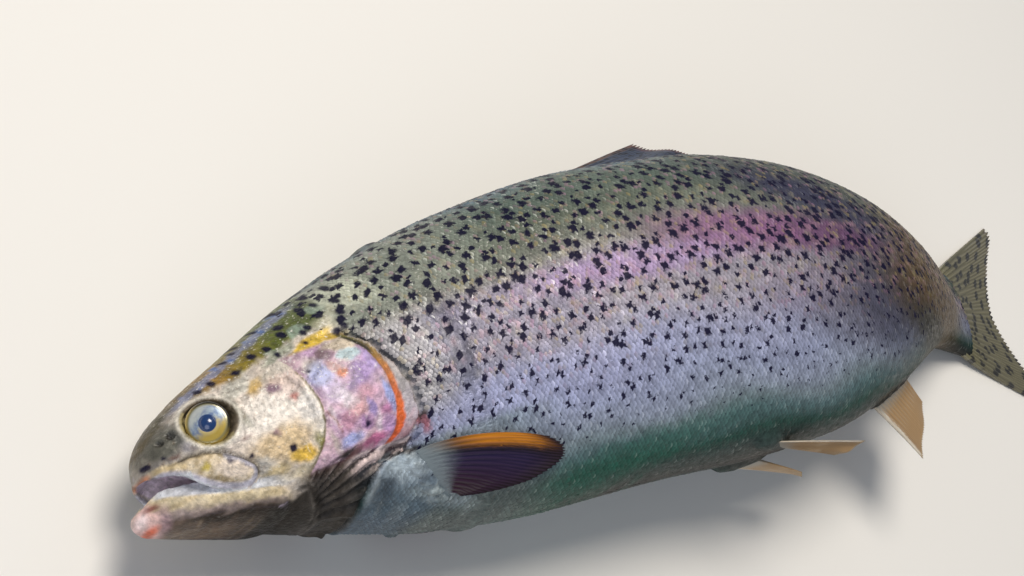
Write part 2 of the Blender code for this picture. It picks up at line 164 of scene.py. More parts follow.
def lookUp(table, s, part):
    # bilinear reading: rows every millimetre along the body, columns evenly over part 0 to 1
    i = np.clip(s, 0, len(table) - 1.001)
    j = np.clip(part, 0, 0.99999) * (table.shape[1] - 1)
    i0, j0 = i.astype(int), j.astype(int)
    fi, fj = i - i0, j - j0
    return ((table[i0, j0] * (1 - fj) + table[i0, j0 + 1] * fj) * (1 - fi)
            + (table[i0 + 1, j0] * (1 - fj) + table[i0 + 1, j0 + 1] * fj) * fi)


def wayRound(s, v, u):
    # share round from the back, found from the direction of the point in its section
    mid, half = midAndHalf(s)
    angle = np.arctan2(unrounded(np.abs(u) / halfWidth(s)), unrounded((v - mid) / half))
    return lookUp(shareTable, s, angle / np.pi)


def toLinear(code):
    c = np.array([int(code[i:i + 2], 16) for i in (1, 3, 5)]) / 255.0
    return np.where(c <= 0.04045, c / 12.92, ((c + 0.055) / 1.055) ** 2.4)


def wobble(a, b, size, seed, layers=5):
    # smooth noise from -1 to 1: sine waves of about this size in seeded directions
    rng = np.random.default_rng(seed)
    total = np.zeros_like(a, float)
    for k in range(layers):
        turn, phase, stretch = rng.uniform(0, 2 * np.pi), rng.uniform(0, 6.3), rng.uniform(0.6, 1.7)
        total += np.sin((a * np.cos(turn) + b * np.sin(turn)) * 2 * np.pi / (size * stretch) + phase)
    return total / np.sqrt(layers * 2.0) / 1.4


def placed(s, v, u):
    return np.stack(np.broadcast_arrays(s, v, u), -1).astype(float)


def fullTurn(count):
    return np.linspace(0, 2 * np.pi, count, endpoint=False)


def gridFaces(rows, cols):
    # quads between rings of points, each ring closed on itself
    i, j = np.arange(rows - 1)[:, None] * cols, np.arange(cols)
    k = (j + 1) % cols
    return np.stack([i + j, i + k, i + cols + k, i + cols + j], -1).reshape(-1, 4)


def closedForm(rings):
    # a skin over rings of points, each end closed by a fan round its middle
    rows, cols = rings.shape[:2]
    points = np.concatenate([rings.reshape(-1, 3), rings[0].mean(0)[None], rings[-1].mean(0)[None]])
    quads = gridFaces(rows, cols)
    j = np.arange(cols)
    k = (j + 1) % cols
    front = np.stack([j, np.full(cols, rows * cols), k], -1)
    base = (rows - 1) * cols
    rear = np.stack([base + j, base + k, np.full(cols, rows * cols + 1)], -1)
    return points, [quads, np.concatenate([front, rear])]


def signedVolume(points, faceSets):
    # six times the volume: the sum of the tetrahedra from the origin to each triangle
    total = 0.0
    for faces in faceSets:
        a = points[faces[:, 0]]
        for n in range(1, faces.shape[1] - 1):
            total += np.einsum("ij,ij->", a, np.cross(points[faces[:, n]], points[faces[:, n + 1]]))
    return total


def outward(form):
    points, faceSets = form
    if signedVolume(points, faceSets) < 0:
        faceSets = [faces[:, ::-1] for faces in faceSets]
    return points, faceSets


def joinForms(forms):
    points, faceSets, count = [], [], 0
    for p, sets in forms:
        points.append(p)
        faceSets += [faces + count for faces in sets]
        count += len(p)
    return np.concatenate(points), faceSets


def meshFrom(name, points, faceSets):
    mesh = bpy.data.meshes.new(name)
    loops = np.concatenate([faces.ravel() for faces in faceSets]).astype(np.int32)
    sizes = np.concatenate([np.full(len(faces), faces.shape[1]) for faces in faceSets]).astype(np.int32)
    mesh.vertices.add(len(points))
    mesh.vertices.foreach_set("co", np.asarray(points, np.float32).ravel())
    mesh.loops.add(len(loops))
    mesh.loops.foreach_set("vertex_index", loops)
    mesh.polygons.add(len(sizes))
    mesh.polygons.foreach_set("loop_start", (np.cumsum(sizes) - sizes).astype(np.int32))
    mesh.update(calc_edges=True)
    mesh.validate()
    mesh.polygons.foreach_set("use_smooth", np.ones(len(mesh.polygons), bool))
    return mesh


def inScene(name, data):
    obj = bpy.data.objects.new(name, data)
    bpy.context.scene.collection.objects.link(obj)
    return obj


def pieceFrom(name, points, faceSets, material, marks, replaces=()):
    # a piece on the one body, with a value, a place or a colour at each point
    mesh = meshFrom(name, points, faceSets)
    for key, values in marks.items():
        values = np.asarray(values, np.float32)
        if key == "ground":
            values = np.concatenate([values, np.ones((len(values), 1), np.float32)], 1)
        kind, field = {1: ("FLOAT", "value"), 3: ("FLOAT_VECTOR", "vector"),
                       4: ("FLOAT_COLOR", "color")}[1 if values.ndim == 1 else values.shape[1]]
        mesh.attributes.new(key, kind, "POINT").data.foreach_set(field, values.ravel())
    obj = inScene(name, mesh)
    mesh.materials.append(material)
    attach(obj, "root")
    if replaces:
        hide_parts(*replaces)
    return obj


# the head's own lines, on the plan
palate = curveThrough((3.2, 5.5, 8, 10, 12, 14.5, 20, 33),
                      (-4.5, -5.4, -6.2, -7.4, -8.9, -10.9, -14.0, -18.1))
jawRim = curveThrough((-1.7, 0.6, 4, 10, 20, 33), (-13.4, -11.4, -10.9, -12.8, -16.2, -18.8))
jawKeel = curveThrough((-1.7, 0.6, 4, 10, 20, 33), (-15.6, -17.6, -18.6, -20.1, -22.3, -25.9))
lipRise = curveThrough((1.2, 3, 4.5, 6.5, 9, 11.5, 13.5, 16, 20, 24, 27.5),
                       (0, 1.2, 2.1, 3.1, 3.5, 3.9, 4.1, 4.0, 3.5, 2.4, 1.2))
jawWidth = curveThrough((-1.7, 0.6, 4, 10, 20, 33), (1.2, 3.7, 6.3, 9.9, 14.0, 17.2))
maxillaTop = curveThrough((4.6, 8.5, 11.9, 14.8, 18, 22.4, 26.8), (-3.7, -4.1, -4.7, -5.0, -5.9, -8.2, -11.8))
maxillaLow = curveThrough((4.6, 6.3, 8, 10.4, 12, 14.4, 17.6, 21.6, 24.5, 26.8),
                          (-5.7, -6.3, -7.2, -8.6, -10.2, -12.4, -14.4, -15.8, -16.2, -14.9))
cheekEdge = curveThrough((-18.5, -12, -7.5, -3.6, 2.2, 7.2, 11.5), (39.0, 43.9, 45.4, 45.9, 44.9, 43.4, 41.5))
coverEdge = curveThrough((-18.3, -16, -13.4, -7.5, -2.1, 2.6, 5.8, 11.5, 13.5),
                         (58.8, 61.8, 63.3, 64.8, 64.8, 63.8, 62.8, 58.5, 56.8))
membraneEdge = curveThrough((-18.5, -17, -13, -8, -2, 3, 8, 11.5, 14),
                            (64.5, 67.5, 70.0, 70.4, 69.3, 67.0, 64.5, 61.0, 58.0))
gillSlit = curveThrough((-40, -33, -28, -25, -22.5, -21, -19.5, -16.5),
                        (47, 50.5, 53, 54.8, 57.6, 62, 66.5, 70))

head = dict(
    coatDepth=0.42,          # how far the skin lies inside the flank where scales cover it
    coverBulge=0.95, coverTop=13.3, coverLow=-18.3,
    pocketDepth=2.0,         # hollow behind the gill cover's free edge
    maxillaProud=1.25,
    eye=(19.7, 1.6, 15.0), eyeAxis=(-0.46, -0.02, 0.89),
    socket=(20.1, 1.9), socketRadius=5.75,
    nostrils=((8.6, 1.6, 0.75), (11.2, 2.4, 0.95)),
    voxel=0.535)


def coverRoom(v):
    # 1 over the gill cover's height, easing to nothing at its upper and lower corners
    return smoothStep((v - head["coverLow"] + 1.5) / 4.0) * smoothStep((head["coverTop"] + 1.2 - v) / 4.5)


def pocketAt(s, v):
    # depth of the hollow behind the gill cover: eased in before the membrane's edge and out behind it
    edge = membraneEdge(v)
    return (head["pocketDepth"] * smoothStep((s - edge + 9) / 3) * (1 - smoothStep((s - edge - 0.6) / 4.5))
            * smoothStep((14.5 - v) / 3) * rise(v, -22, 3))


def bodyForm():
    # ovals from behind the mouth to the tail fin, drawn in where scales or the gill pocket lie
    s = np.concatenate([np.linspace(27.5, 34, 6), np.linspace(35, 80, 46), np.linspace(82, 356, 92),
                        np.linspace(358, 367, 8)])
    angle = fullTurn(128)
    nose = 2.2 * fall(s, 27.5, 7)
    plain = onOval(s[:, None], angle[None, :])
    height = plain[..., 1]
    chest = smoothStep((s[:, None] - gillSlit(height) - 1) / 3) * smoothStep((-18.5 - height) / 2)
    inset = nose[:, None] + head["coatDepth"] * np.maximum(rise(s[:, None], 56, 16), chest)
    rings = onOval(s[:, None], angle[None, :], inset)
    pinch = 1 - 0.62 * rise(s, 354, 10) - 0.3 * rise(s, 363, 4)
    rings[..., 2] *= pinch[:, None]
    pocket = pocketAt(rings[..., 0], rings[..., 1])
    reach = np.maximum(np.abs(rings[..., 2]), 1.0)
    rings[..., 2] *= 1 - np.clip(pocket / reach, 0, 0.8)
    return closedForm(rings)


def levelOval(s, line, count=72, arch=0.0):
    # the part of the oval above a level line, closed along that line by an arched roof
    mid, half = midAndHalf(s)
    edge = np.arccos(unrounded(np.clip((line - mid) / half, -0.98, 0.98)))
    ring = onOval(np.array(s), np.linspace(-edge, edge, count - 12))
    across = np.linspace(ring[-1, 2], ring[0, 2], 14)[1:-1]
    roof = ring[-1, 1] + arch * (1 - (across / ring[-1, 2]) ** 2)
    return np.concatenate([ring, np.stack([np.full(12, s), roof, across], -1)])


def snoutForm():
    # the part of each oval above the palate, its roof arched over the mouth
    s = np.concatenate([[3.2, 3.5, 4.0, 4.6], np.linspace(5.2, 44, 52)])
    line = np.where(s < 33, palate(s), palate(33) - 0.35 * (s - 33))
    arch = 2.6 * rise(s, 3.2, 6) * fall(s, 24, 9)
    return closedForm(np.array([levelOval(a, b, arch=c) for a, b, c in zip(s, line, arch)]))


def jawForm():
    # a boat-shaped jaw: rounded keel below, a trough between two raised lips above
    s = np.concatenate([[-1.7, -1.5, -1.1], np.linspace(-0.6, 41, 46)])
    th = np.linspace(0, np.pi, 41)
    rim, keel, wide = jawRim(s)[:, None], jawKeel(s)[:, None], jawWidth(s)[:, None]
    behind = rise(s[:, None], 28, 13)                 # it runs out inside the throat
    wide = wide * (1 - 0.36 * behind)
    keel = keel + 1.5 * behind
    v = rim - (rim - keel) * np.sin(th) ** 0.8
    u = wide * rounded(np.cos(th), 0.8)
    across = np.linspace(-1, 1, 49)[1:-1]
    depth = 0.30 * wide * rise(s[:, None], 0.5, 6) * fall(s[:, None], 26, 7)
    inward = (1 - np.abs(across)) * wide                       # millimetres in from the rim
    lip = rise(inward, 0.2, 1.5) * fall(inward, 2.6, 1.6)
    dish = rim - depth * (1 - across ** 4) + (lipRise(s)[:, None] + 0.45 * depth) * lip
    v = np.concatenate([v, dish], 1)
    u = np.concatenate([u, wide * across], 1)
    return closedForm(placed(s[:, None], v, u))


def tongueForm():
    # ellipses along the jaw's floor, widest at their middle
    s = np.linspace(4.5, 27, 18)
    th = fullTurn(24)
    wide = 3.9 * np.sqrt(np.clip(1 - ((s - 17) / 13) ** 2, 0.02, 1))
    mid = jawRim(s) - 3.0
    return closedForm(placed(s[:, None], mid[:, None] + 1.7 * np.sin(th) * (wide / 3.9)[:, None],
                             wide[:, None] * np.cos(th)))


def tubeForm(path, radius, sides=12):
    # a round bead carried along a path, thinner at its ends
    t = np.gradient(path, axis=0)
    t /= np.linalg.norm(t, axis=1)[:, None]
    ref = np.cross(t, np.array([0.0, 1.0, 0.0]))
    ref /= np.linalg.norm(ref, axis=1)[:, None]
    other = np.cross(t, ref)
    th = fullTurn(sides)
    r = np.asarray(radius)[:, None, None]
    th = th[None, :, None]
    return closedForm(path[:, None] + r * (np.cos(th) * ref[:, None] + np.sin(th) * other[:, None]))


def plateForm(place, outer, inner, side):
    # a plate on the flank: place gives s and v on a grid, outer and inner its two faces off the skin
    s, v = place
    skin = skinAt(s, v)
    out, deep = [placed(s, v, side * (skin + off)) for off in (outer, inner)]
    return closedForm(np.concatenate([out, deep[:, ::-1]], 1))


def coverForms(side):
    # the bony gill cover, bulging towards its middle, and the thinner membrane behind it
    q = np.linspace(0, 1, 60)[:, None]
    p = np.linspace(0, 1, 52)[None, :]
    v = head["coverLow"] - 0.2 + (head["coverTop"] - head["coverLow"] + 0.6) * q + 0 * p
    room = coverRoom(v)
    front = cheekEdge(np.clip(v, -18.5, 11.5)) - 1.5
    s = front + (coverEdge(v) - front) * p
    outer = room * (0.15 + head["coverBulge"] * np.sin(np.pi * np.clip(p * 0.8 + 0.1, 0, 1)) ** 0.7)
    outer = outer - (1 - room) * 0.9
    inner = -2.6 + 2.3 * rise(p, 0.72, 0.2)
    forms = [plateForm((s, v), outer, np.minimum(inner, outer - 0.3), side)]
    front = coverEdge(v) - 5.0
    reach = membraneEdge(v) + 0.35 * np.sin(v * 0.9 + 1.0)
    s = front + (reach - front) * p
    outer = room * (0.30 - 0.55 * p) - (1 - room) * 1.2
    forms.append(plateForm((s, v), outer, outer - 0.95 + 0.25 * p, side))
    return forms


def maxillaForm(side):
    # the upper jaw bone: a long leaf along the lip with a crowned face and a rounded rear end
    p = np.linspace(0, 1, 70)[:, None]
    q = np.linspace(0, 1, 22)[None, :]
    s = 4.6 + 22.4 * p + 0 * q
    top, low = maxillaTop(s), maxillaLow(s)
    mid, half = (top + low) / 2, (top - low) / 2
    half = half * np.sqrt(np.clip(1 - ((s - 23.2) / 4.0) ** 2 * (s > 23.2), 0.01, 1))
    v = mid + half * (2 * q - 1)
    crown = np.sin(np.pi * q) ** 0.5
    swell = 0.35 + 0.65 * rise(s, 5, 10)
    outer = head["maxillaProud"] * swell * (0.35 + 0.65 * crown)
    form = plateForm((s, v), outer, -0.9 + 0 * outer, side)
    lipV = low[:, 0] + 0.45
    path = placed(s[:, 0], lipV, side * (skinAt(s[:, 0], lipV) + 0.35))[4:-8]
    lip = tubeForm(path, 0.78 * np.sqrt(np.sin(np.linspace(0.08, np.pi - 0.12, len(path)))))
    return [form, lip]


def lipForms():
    # fleshy beads round the edge of the snout and along the lower jaw's rim
    s = np.concatenate([np.linspace(10, 3.4, 20), np.linspace(3.4, 10, 20)])
    side = np.concatenate([np.full(20, 1.0), np.full(20, -1.0)])
    v = palate(s) + 0.5
    upper = placed(s + 0.3, v, side * (skinAt(s, v) - 0.45))
    upper = np.concatenate([upper[:20], [[3.6, -4.3, 0.9], [3.5, -4.2, 0.0], [3.6, -4.3, -0.9]], upper[20:]])
    forms = [tubeForm(upper, np.full(len(upper), 0.75))]
    for sign in (1, -1):
        s = np.linspace(-0.6, 27, 40)
        path = placed(s, jawRim(s) - 0.35, sign * (jawWidth(s) - 0.45))
        forms.append(tubeForm(path, 0.55 * np.sqrt(np.sin(np.linspace(0.35, np.pi - 0.05, 40)))))
    return forms


def lumpForm(centre, sizes):
    # an ellipsoid lump of flesh
    a = np.linspace(0.02, np.pi - 0.02, 16)[:, None]
    b = fullTurn(24)[None, :]
    rings = placed(np.cos(a), np.sin(a) * np.cos(b), np.sin(a) * np.sin(b))
    return closedForm(np.asarray(centre) + rings * np.asarray(sizes))


def finRootForms():
    # rows of lumps where the fins grow out of the flesh
    forms = []
    for side in (1, -1):
        for k in np.linspace(0, 1, 6):
            s, v = 64.4 + 8.0 * k, -22.0 - 11.6 * k
            forms.append(lumpForm((s + 1.5, v, side * (skinAt(s, v) - 0.75)), (3.4, 2.5, 1.15 - 0.1 * k)))
        for k in np.linspace(0, 1, 4):
            s = 191.0 + 8.5 * k
            v = bellyEdge(s) + 1.2
            forms.append(lumpForm((s, v, side * (10.3 - 5 * k)), (5.0, 2.0, 2.0)))
    lump = [(s, backEdge(s) - 0.5, 0.0) for s in np.linspace(162, 214, 14)]
    forms += [lumpForm(c, (4.5, 1.5, 1.9)) for c in lump]
    lump = [(s, bellyEdge(s) + 0.4, 0.0) for s in np.linspace(258, 284, 9)]
    forms += [lumpForm(c, (4.0, 1.7, 2.0)) for c in lump]
    return forms + [lumpForm((300.0, backEdge(300.0) - 0.3, 0.0), (6.0, 1.6, 1.6))]


# one skin: the forms are joined at the head's full fineness and the trunk at a coarser one
fineness = dict(start=64.0, end=90.0, trunk=0.26)
warpPlaces = np.arange(-12.0, 372.0, 0.5)
warpScale = 1 - (1 - fineness["trunk"]) * smoothStep((warpPlaces - fineness["start"])
                                                     / (fineness["end"] - fineness["start"]))
warpAlong = np.concatenate([[0], np.cumsum((warpScale[1:] + warpScale[:-1]) * 0.25)])


def squeeze(co):
    # the trunk is drawn smaller, so that one grid of cells joins the head finely and the trunk coarsely
    k = np.interp(co[:, 0], warpPlaces, warpScale)
    return np.stack([np.interp(co[:, 0], warpPlaces, warpAlong), co[:, 1] * k, co[:, 2] * k], -1)


def unsqueeze(co):
    s = np.interp(co[:, 0], warpAlong, warpPlaces)
    k = np.interp(s, warpPlaces, warpScale)
    return np.stack([s, co[:, 1] / k, co[:, 2] / k], -1)


def remeshed(points, faceSets, voxel):
    # the skin round all the forms together, found on a grid of cells of this size
    obj = inScene("joined_forms", meshFrom("joined_forms", points, faceSets))
    mod = obj.modifiers.new("join", "REMESH")
    mod.mode = "VOXEL"
    mod.voxel_size = voxel
    deps = bpy.context.evaluated_depsgraph_get()
    mesh = bpy.data.meshes.new_from_object(obj.evaluated_get(deps))
    co = np.empty(len(mesh.vertices) * 3)
    mesh.vertices.foreach_get("co", co)
    loops = np.empty(len(mesh.loops), np.int32)
    mesh.loops.foreach_get("vertex_index", loops)
    old = obj.data
    bpy.data.objects.remove(obj, do_unlink=True)
    bpy.data.meshes.remove(old)
    bpy.data.meshes.remove(mesh)
    return co.reshape(-1, 3), loops.reshape(-1, 4)


def evened(co, quads, rounds, strength=0.5):
    # each point moves towards the middle of its neighbours, then a little back, so the form doesn't shrink
    a = quads.ravel()
    b = np.roll(quads, -1, axis=1).ravel()
    ends = np.concatenate([a, b]), np.concatenate([b, a])
    count = np.bincount(ends[0], minlength=len(co)).astype(float)[:, None]
    for k in range(rounds):
        for move in (strength, -strength * 1.04):
            mean = np.stack([np.bincount(ends[0], co[ends[1], n], len(co)) for n in range(3)], -1) / count
            co = co + move * (mean - co)
    return co


def normalsOf(co, quads):
    # each point's normal is the sum of those of the quads round it
    d1, d2 = co[quads[:, 2]] - co[quads[:, 0]], co[quads[:, 3]] - co[quads[:, 1]]
    face = np.cross(d1, d2)
    n = np.stack([np.bincount(quads.ravel(), np.repeat(face[:, k], 4), len(co)) for k in range(3)], -1)
    return n / np.maximum(np.linalg.norm(n, axis=1), 1e-12)[:, None]


def fromPath(s, v, path):
    # distance from each point to a line of places on the side of the head
    path = np.asarray(path, float)
    best = np.full(len(s), 1e9)
    for (s0, v0), (s1, v1) in zip(path[:-1], path[1:]):
        ds, dv = s1 - s0, v1 - v0
        t = np.clip(((s - s0) * ds + (v - v0) * dv) / (ds * ds + dv * dv), 0, 1)
        best = np.minimum(best, np.hypot(s - s0 - t * ds, v - v0 - t * dv))
    return best


def throatFolds(s, v):
    # folds of the gill membranes open like a fan from under the jaw joint
    turn = np.arctan2(v + 27.5, s - 33.0) + 0.03 * wobble(s, v, 9.0, 71)
    room = smoothStep((-17.6 - v) / 1.6) * smoothStep((s - 37 + 0.35 * (v + 20)) / 6)
    room = room * (1 - smoothStep((s - gillSlit(v) + 0.8) / 1.6))
    return room, turn * 44 + 1.3 * wobble(s, v, 7.0, 74)


def shapedSkin():
    # the forms joined and evened, then lifted along their normals by the head's ridges and furrows
    forms = [bodyForm(), snoutForm(), jawForm(), tongueForm()] + lipForms() + finRootForms()
    for side in (1, -1):
        forms += coverForms(side) + maxillaForm(side)
    points, faceSets = joinForms([outward(form) for form in forms])
    co, quads = remeshed(squeeze(points), faceSets, head["voxel"])
    co = evened(co, quads, 3)
    co = unsqueeze(co)
    # the trunk returns to its exact ovals
    s, v, u = co.T
    mid, half = midAndHalf(s)
    angle = np.arctan2(unrounded(u / halfWidth(s)), unrounded((v - mid) / half))
    exact = onOval(s, angle, head["coatDepth"])
    near = np.abs(np.hypot(*(exact[:, 1:] - co[:, 1:]).T)) < 0.8
    pull = rise(s, 84, 8) * fall(s, 348, 5) * near
    co = co + pull[:, None] * (exact - co)
    # fine relief of the head
    normal = normalsOf(co, quads)
    s, v, u = co.T
    outside = smoothStep((np.abs(u) - skinAt(s, v) + 2.2) / 0.8)
    onHead = 1 - rise(s, 84, 6)
    lift = np.zeros(len(co))
    vc = np.clip(v, -18.5, 11.5)
    past = s - cheekEdge(vc)
    cheekRoom = rise(v, -18.5, 2.5) * smoothStep((11.8 - v) / 3) * outside
    lift += cheekRoom * 0.5 * fall(past, -0.2, 0.9) * rise(past, -6, 6)
    lift -= cheekRoom * 0.35 * np.exp(-(past - 0.6) ** 2 / 0.35)
    ring = np.hypot(s - head["socket"][0], v - head["socket"][1])
    lift += outside * 0.35 * hump(ring - 6.9, 0.8)
    lift -= outside * 0.22 * hump(ring - 9.4, 1.0) * (s < 30)
    for line, depth, width in (
            (((7.5, -4.5), (12.5, -4.1), (18, -5.6), (22.4, -8.2), (26.6, -11.4), (27.9, -13.6),
              (27.3, -16.0)), 0.8, 0.6),
            (((26.5, -13.5), (30.0, -18.0), (36.4, -21.0)), 0.5, 0.8),
            (((47.0, -7.0), (52.0, -12.0), (60.0, -15.4)), 0.35, 0.5),
            (((46.6, 4.0), (52.0, 6.5), (57.0, 10.5)), 0.18, 0.6),
            (((30.0, -16.5), (37.0, -17.4), (43.0, -15.0)), 0.3, 0.8)):
        lift -= outside * onHead * depth * hump(fromPath(s, v, line), width)
    slit = s - gillSlit(v)
    slitRoom = smoothStep((-17.0 - v) / 2) * rise(v, -38, 8)
    lift -= slitRoom * 1.9 * hump(slit - 0.2, 0.75)
    lift += slitRoom * 0.5 * hump(slit + 1.6, 1.0)
    room, wave = throatFolds(s, v)
    lift += room * (0.6 * np.sin(wave) + 0.16 * np.sin(2.3 * wave + s * 0.4) - 0.3)
    for s0, v0, size in head["nostrils"]:
        gap = np.hypot(s - s0, v - v0)
        lift += outside * (0.22 * hump(gap - size - 0.45, 0.4) - 1.3 * hump(gap, size, 4))
    lift += onHead * outside * 0.05 * wobble(s, v, 3.0, 4)
    co = co + normal * lift[:, None]
    # the eye's socket: inside its ring the skin drops behind the eyeball
    s, v, u = co.T
    ring = np.hypot(s - head["socket"][0], v - head["socket"][1])
    drop = (1 - smoothStep((ring - head["socketRadius"] + 0.5) / 0.6)) * outside
    floorU = 9.5
    co[:, 2] = np.where(np.abs(u) > floorU, np.sign(u) * (floorU + (np.abs(u) - floorU) * (1 - drop)), u)
    return co, quads


print("skin: joining the forms")
skinPoints, skinQuads = shapedSkin()
print("skin:", len(skinPoints), "points,", len(skinQuads) * 2, "triangles")


# markings, the same for skin and scales
def washed(colour, other, amount):
    # the other colour laid over this one, by an amount from 0 to 1
    colour, other = [toLinear(c) if isinstance(c, str) else c for c in (colour, other)]
    return colour + np.clip(amount, 0, 1)[:, None] * (other - colour)


def washedBy(colour, rows):
    for other, amount in rows:
        colour = washed(colour, other, amount)
    return colour


def band(x, low, high, soft):
    # 1 between low and high, with soft ends
    return smoothStep((x - low) / soft + 0.5) * smoothStep((high - x) / soft + 0.5)


def spotAt(s, v, places, soft=0.5):
    total = np.zeros(len(s))
    for ps, pv, size in places:
        total = np.maximum(total, 1 - smoothStep((np.hypot(s - ps, v - pv) - size) / soft + 0.5))
    return total


# tones round the flank from belly (0) to back (1); the blue strip near the top of the back, about 0.89 to
# 0.92, is a painted sky reflection
flankTones = (
    (0.00, "#393733"), (0.08, "#394744"), (0.12, "#294c43"), (0.17, "#5a7477"), (0.20, "#7c8b92"),
    (0.24, "#939cb0"), (0.30, "#969db9"), (0.38, "#979ab5"), (0.47, "#99949f"), (0.52, "#8f8a97"),
    (0.58, "#998fa4"), (0.62, "#82807c"), (0.66, "#6a6e64"), (0.72, "#5c6457"), (0.78, "#56635a"),
    (0.84, "#526259"), (0.89, "#4f6568"), (0.92, "#36586f"), (0.955, "#3c5450"), (1.00, "#38483f"))
flankStrokes = (
    ("#5f3a5e", 224, 8.5, 34, 6.0, -10, 1.1, 0.9), ("#7a4f76", 190, 12.0, 28, 7.0, -10, 1.1, 0.8),
    ("#9c7fae", 150, 8.0, 34, 4.5, -2, 1.1, 0.6), ("#8d8a9c", 112, 0.0, 26, 6.0, -6, 1.1, 0.5),
    ("#232340", 232, 21.5, 34, 7.5, -22, 1.1, 0.92), ("#a0a5cc", 112, -17, 38, 8.0, 2, 1.1, 0.4),
    ("#7d6f82", 214, -9, 26, 8.0, 0, 1.1, 0.5), ("#245f4e", 128, -41, 46, 4.0, 4, 1.1, 0.6),
    ("#5a5660", 226, -19, 20, 8, -8, 1.1, 0.6), ("#39384a", 248, -13, 20, 14, -10, 1.1, 0.75),
    ("#4a3820", 272, -11, 23, 12, -10, 1.1, 0.85), ("#4f3a10", 304, 2, 40, 27, 0, 0.75, 0.93),
    ("#1f251d", 290, -22, 30, 6, -8, 1.1, 0.7))
crownTones = ((4, "#5d4d28"), (12, "#514a30"), (20, "#7d6732"), (28, "#a67f20"), (36, "#8a7a1a"),
              (45, "#66701c"), (54, "#5f6c34"), (66, "#5f6b3e"))
crownLine = curveThrough((3, 8, 12, 20, 30, 40, 50, 58, 70),
                         (-1, 3.5, 6.5, 9.6, 10.6, 13.2, 15.6, 17.0, 21.0))
headSpots = (
    (26.2, 11.7, 1.0), (22.6, 11.0, 0.8), (32.4, 12.1, 1.0), (38.1, 15.0, 1.1), (42.1, 15.4, 1.1),
    (43.2, 12.7, 0.9), (47.5, 17.9, 1.2), (48.6, 20.6, 1.1), (51.8, 16.4, 1.0), (53.6, 17.0, 0.9),
    (57.9, 19.5, 1.2), (50.6, 13.1, 0.7), (56.0, 23.6, 1.1), (59.5, 23.4, 1.0), (59.2, 13.4, 1.1),
    (61.6, 14.3, 1.1), (52.5, 26.6, 1.1), (45.0, 23.0, 0.9), (63.2, 18.6, 1.2), (64.5, 22.2, 1.2),
    (33.0, 17.0, 0.8), (39.0, 20.8, 0.9), (4.6, -2.4, 0.7), (7.9, -2.4, 0.6), (36.4, -11.4, 1.0),
    (55.4, -12.3, 0.8), (26.3, -9.9, 0.7), (46.6, 5.2, 0.7), (36.8, 19.0, 0.7), (60.2, 27.0, 1.1),
    (66.0, 27.5, 1.2))
# strokes of colour laid over each other: colour, place, half length and height, slant, softness, strength
cheekStrokes = (
    ("#f1e9df", 34.0, -0.8, 13.0, 4.6, 8, 0.9, 0.85), ("#f4efe9", 43.5, -6.5, 2.4, 6.5, 8, 0.8, 0.8),
    ("#d3b682", 34.5, -9.5, 8.0, 4.0, 6, 0.9, 0.75), ("#cbb0a8", 40.8, 4.6, 5.0, 3.6, 15, 0.8, 0.55),
    ("#75576e", 37.6, 4.4, 1.5, 1.3, 0, 1.2, 0.9), ("#96483f", 41.0, 0.6, 1.1, 0.9, 40, 1.2, 0.9),
    ("#7c5e6a", 33.6, -6.5, 1.2, 1.0, 0, 1.2, 0.9), ("#8c7672", 26.4, -5.2, 1.5, 0.7, 10, 1.2, 0.75),
    ("#d2a944", 33.8, 6.6, 3.0, 1.2, 38, 1.0, 0.8), ("#dcb440", 38.6, -13.6, 3.3, 1.9, -12, 0.8, 0.95),
    ("#b8b4ac", 28.3, -13.2, 2.8, 2.4, -10, 0.9, 0.85), ("#b9a468", 31.5, -15.6, 3.6, 1.8, 10, 1.0, 0.7),
    # the grey-green stroke just behind the eye socket (#7b7d6c, at 27.3) is painted shade
    ("#7b7d6c", 27.3, 0.8, 1.1, 4.2, 12, 1.0, 0.7), ("#c9c7ba", 29.5, 7.8, 4.6, 2.2, 25, 0.9, 0.75),
    ("#b9b6c6", 12.4, -0.6, 1.2, 3.6, 14, 0.9, 0.6), ("#7d7890", 14.2, -1.2, 0.8, 2.4, 12, 1.0, 0.65),
    ("#4b4d43", 9.0, 1.2, 7.0, 4.8, 26, 1.1, 0.92), ("#7d7873", 5.5, -3.6, 2.6, 1.6, -20, 1.2, 0.75),
    ("#c3b9a6", 16.0, -4.6, 5.5, 0.9, -8, 0.9, 0.7),
    ("#6b5638", 17.5, -3.4, 3.6, 0.45, -6, 1.2, 0.7), ("#5a3324", 9.7, -3.4, 1.2, 0.7, 0, 1.2, 0.85),
    ("#8d7c8e", 45.3, 5.2, 1.9, 0.7, -62, 1.0, 0.9), ("#cfc6b8", 41.0, 9.0, 6.0, 1.6, 14, 0.9, 0.8),
    ("#59484c", 50.2, 8.8, 2.6, 1.7, 16, 1.1, 0.7), ("#e0bd3e", 51.5, 12.6, 6.6, 1.5, 20, 0.8, 0.95),
    ("#d8b54a", 58.4, 12.2, 4.4, 1.2, -10, 0.9, 0.85), ("#9aa08c", 43.5, 12.8, 5.0, 1.1, 20, 0.9, 0.6),
    ("#d5cfb8", 60.5, 17.5, 5.2, 2.2, 12, 1.0, 0.75), ("#8f8a4c", 43.9, -14.5, 1.3, 4.6, 16, 0.9, 0.95),
    ("#8b8068", 42.0, -18.2, 6.0, 1.3, 4, 1.2, 0.9),
    ("#c9bb96", 36.0, -17.2, 5.0, 1.0, 8, 1.0, 0.6), ("#c97a4c", 4.0, -5.4, 1.2, 1.3, 0, 1.0, 0.85),
    ("#caa0a0", 5.0, -6.3, 1.2, 0.8, 0, 1.0, 0.7))
goldStrokes = cheekStrokes[23:28]          # laid once more over the crown's lower edge
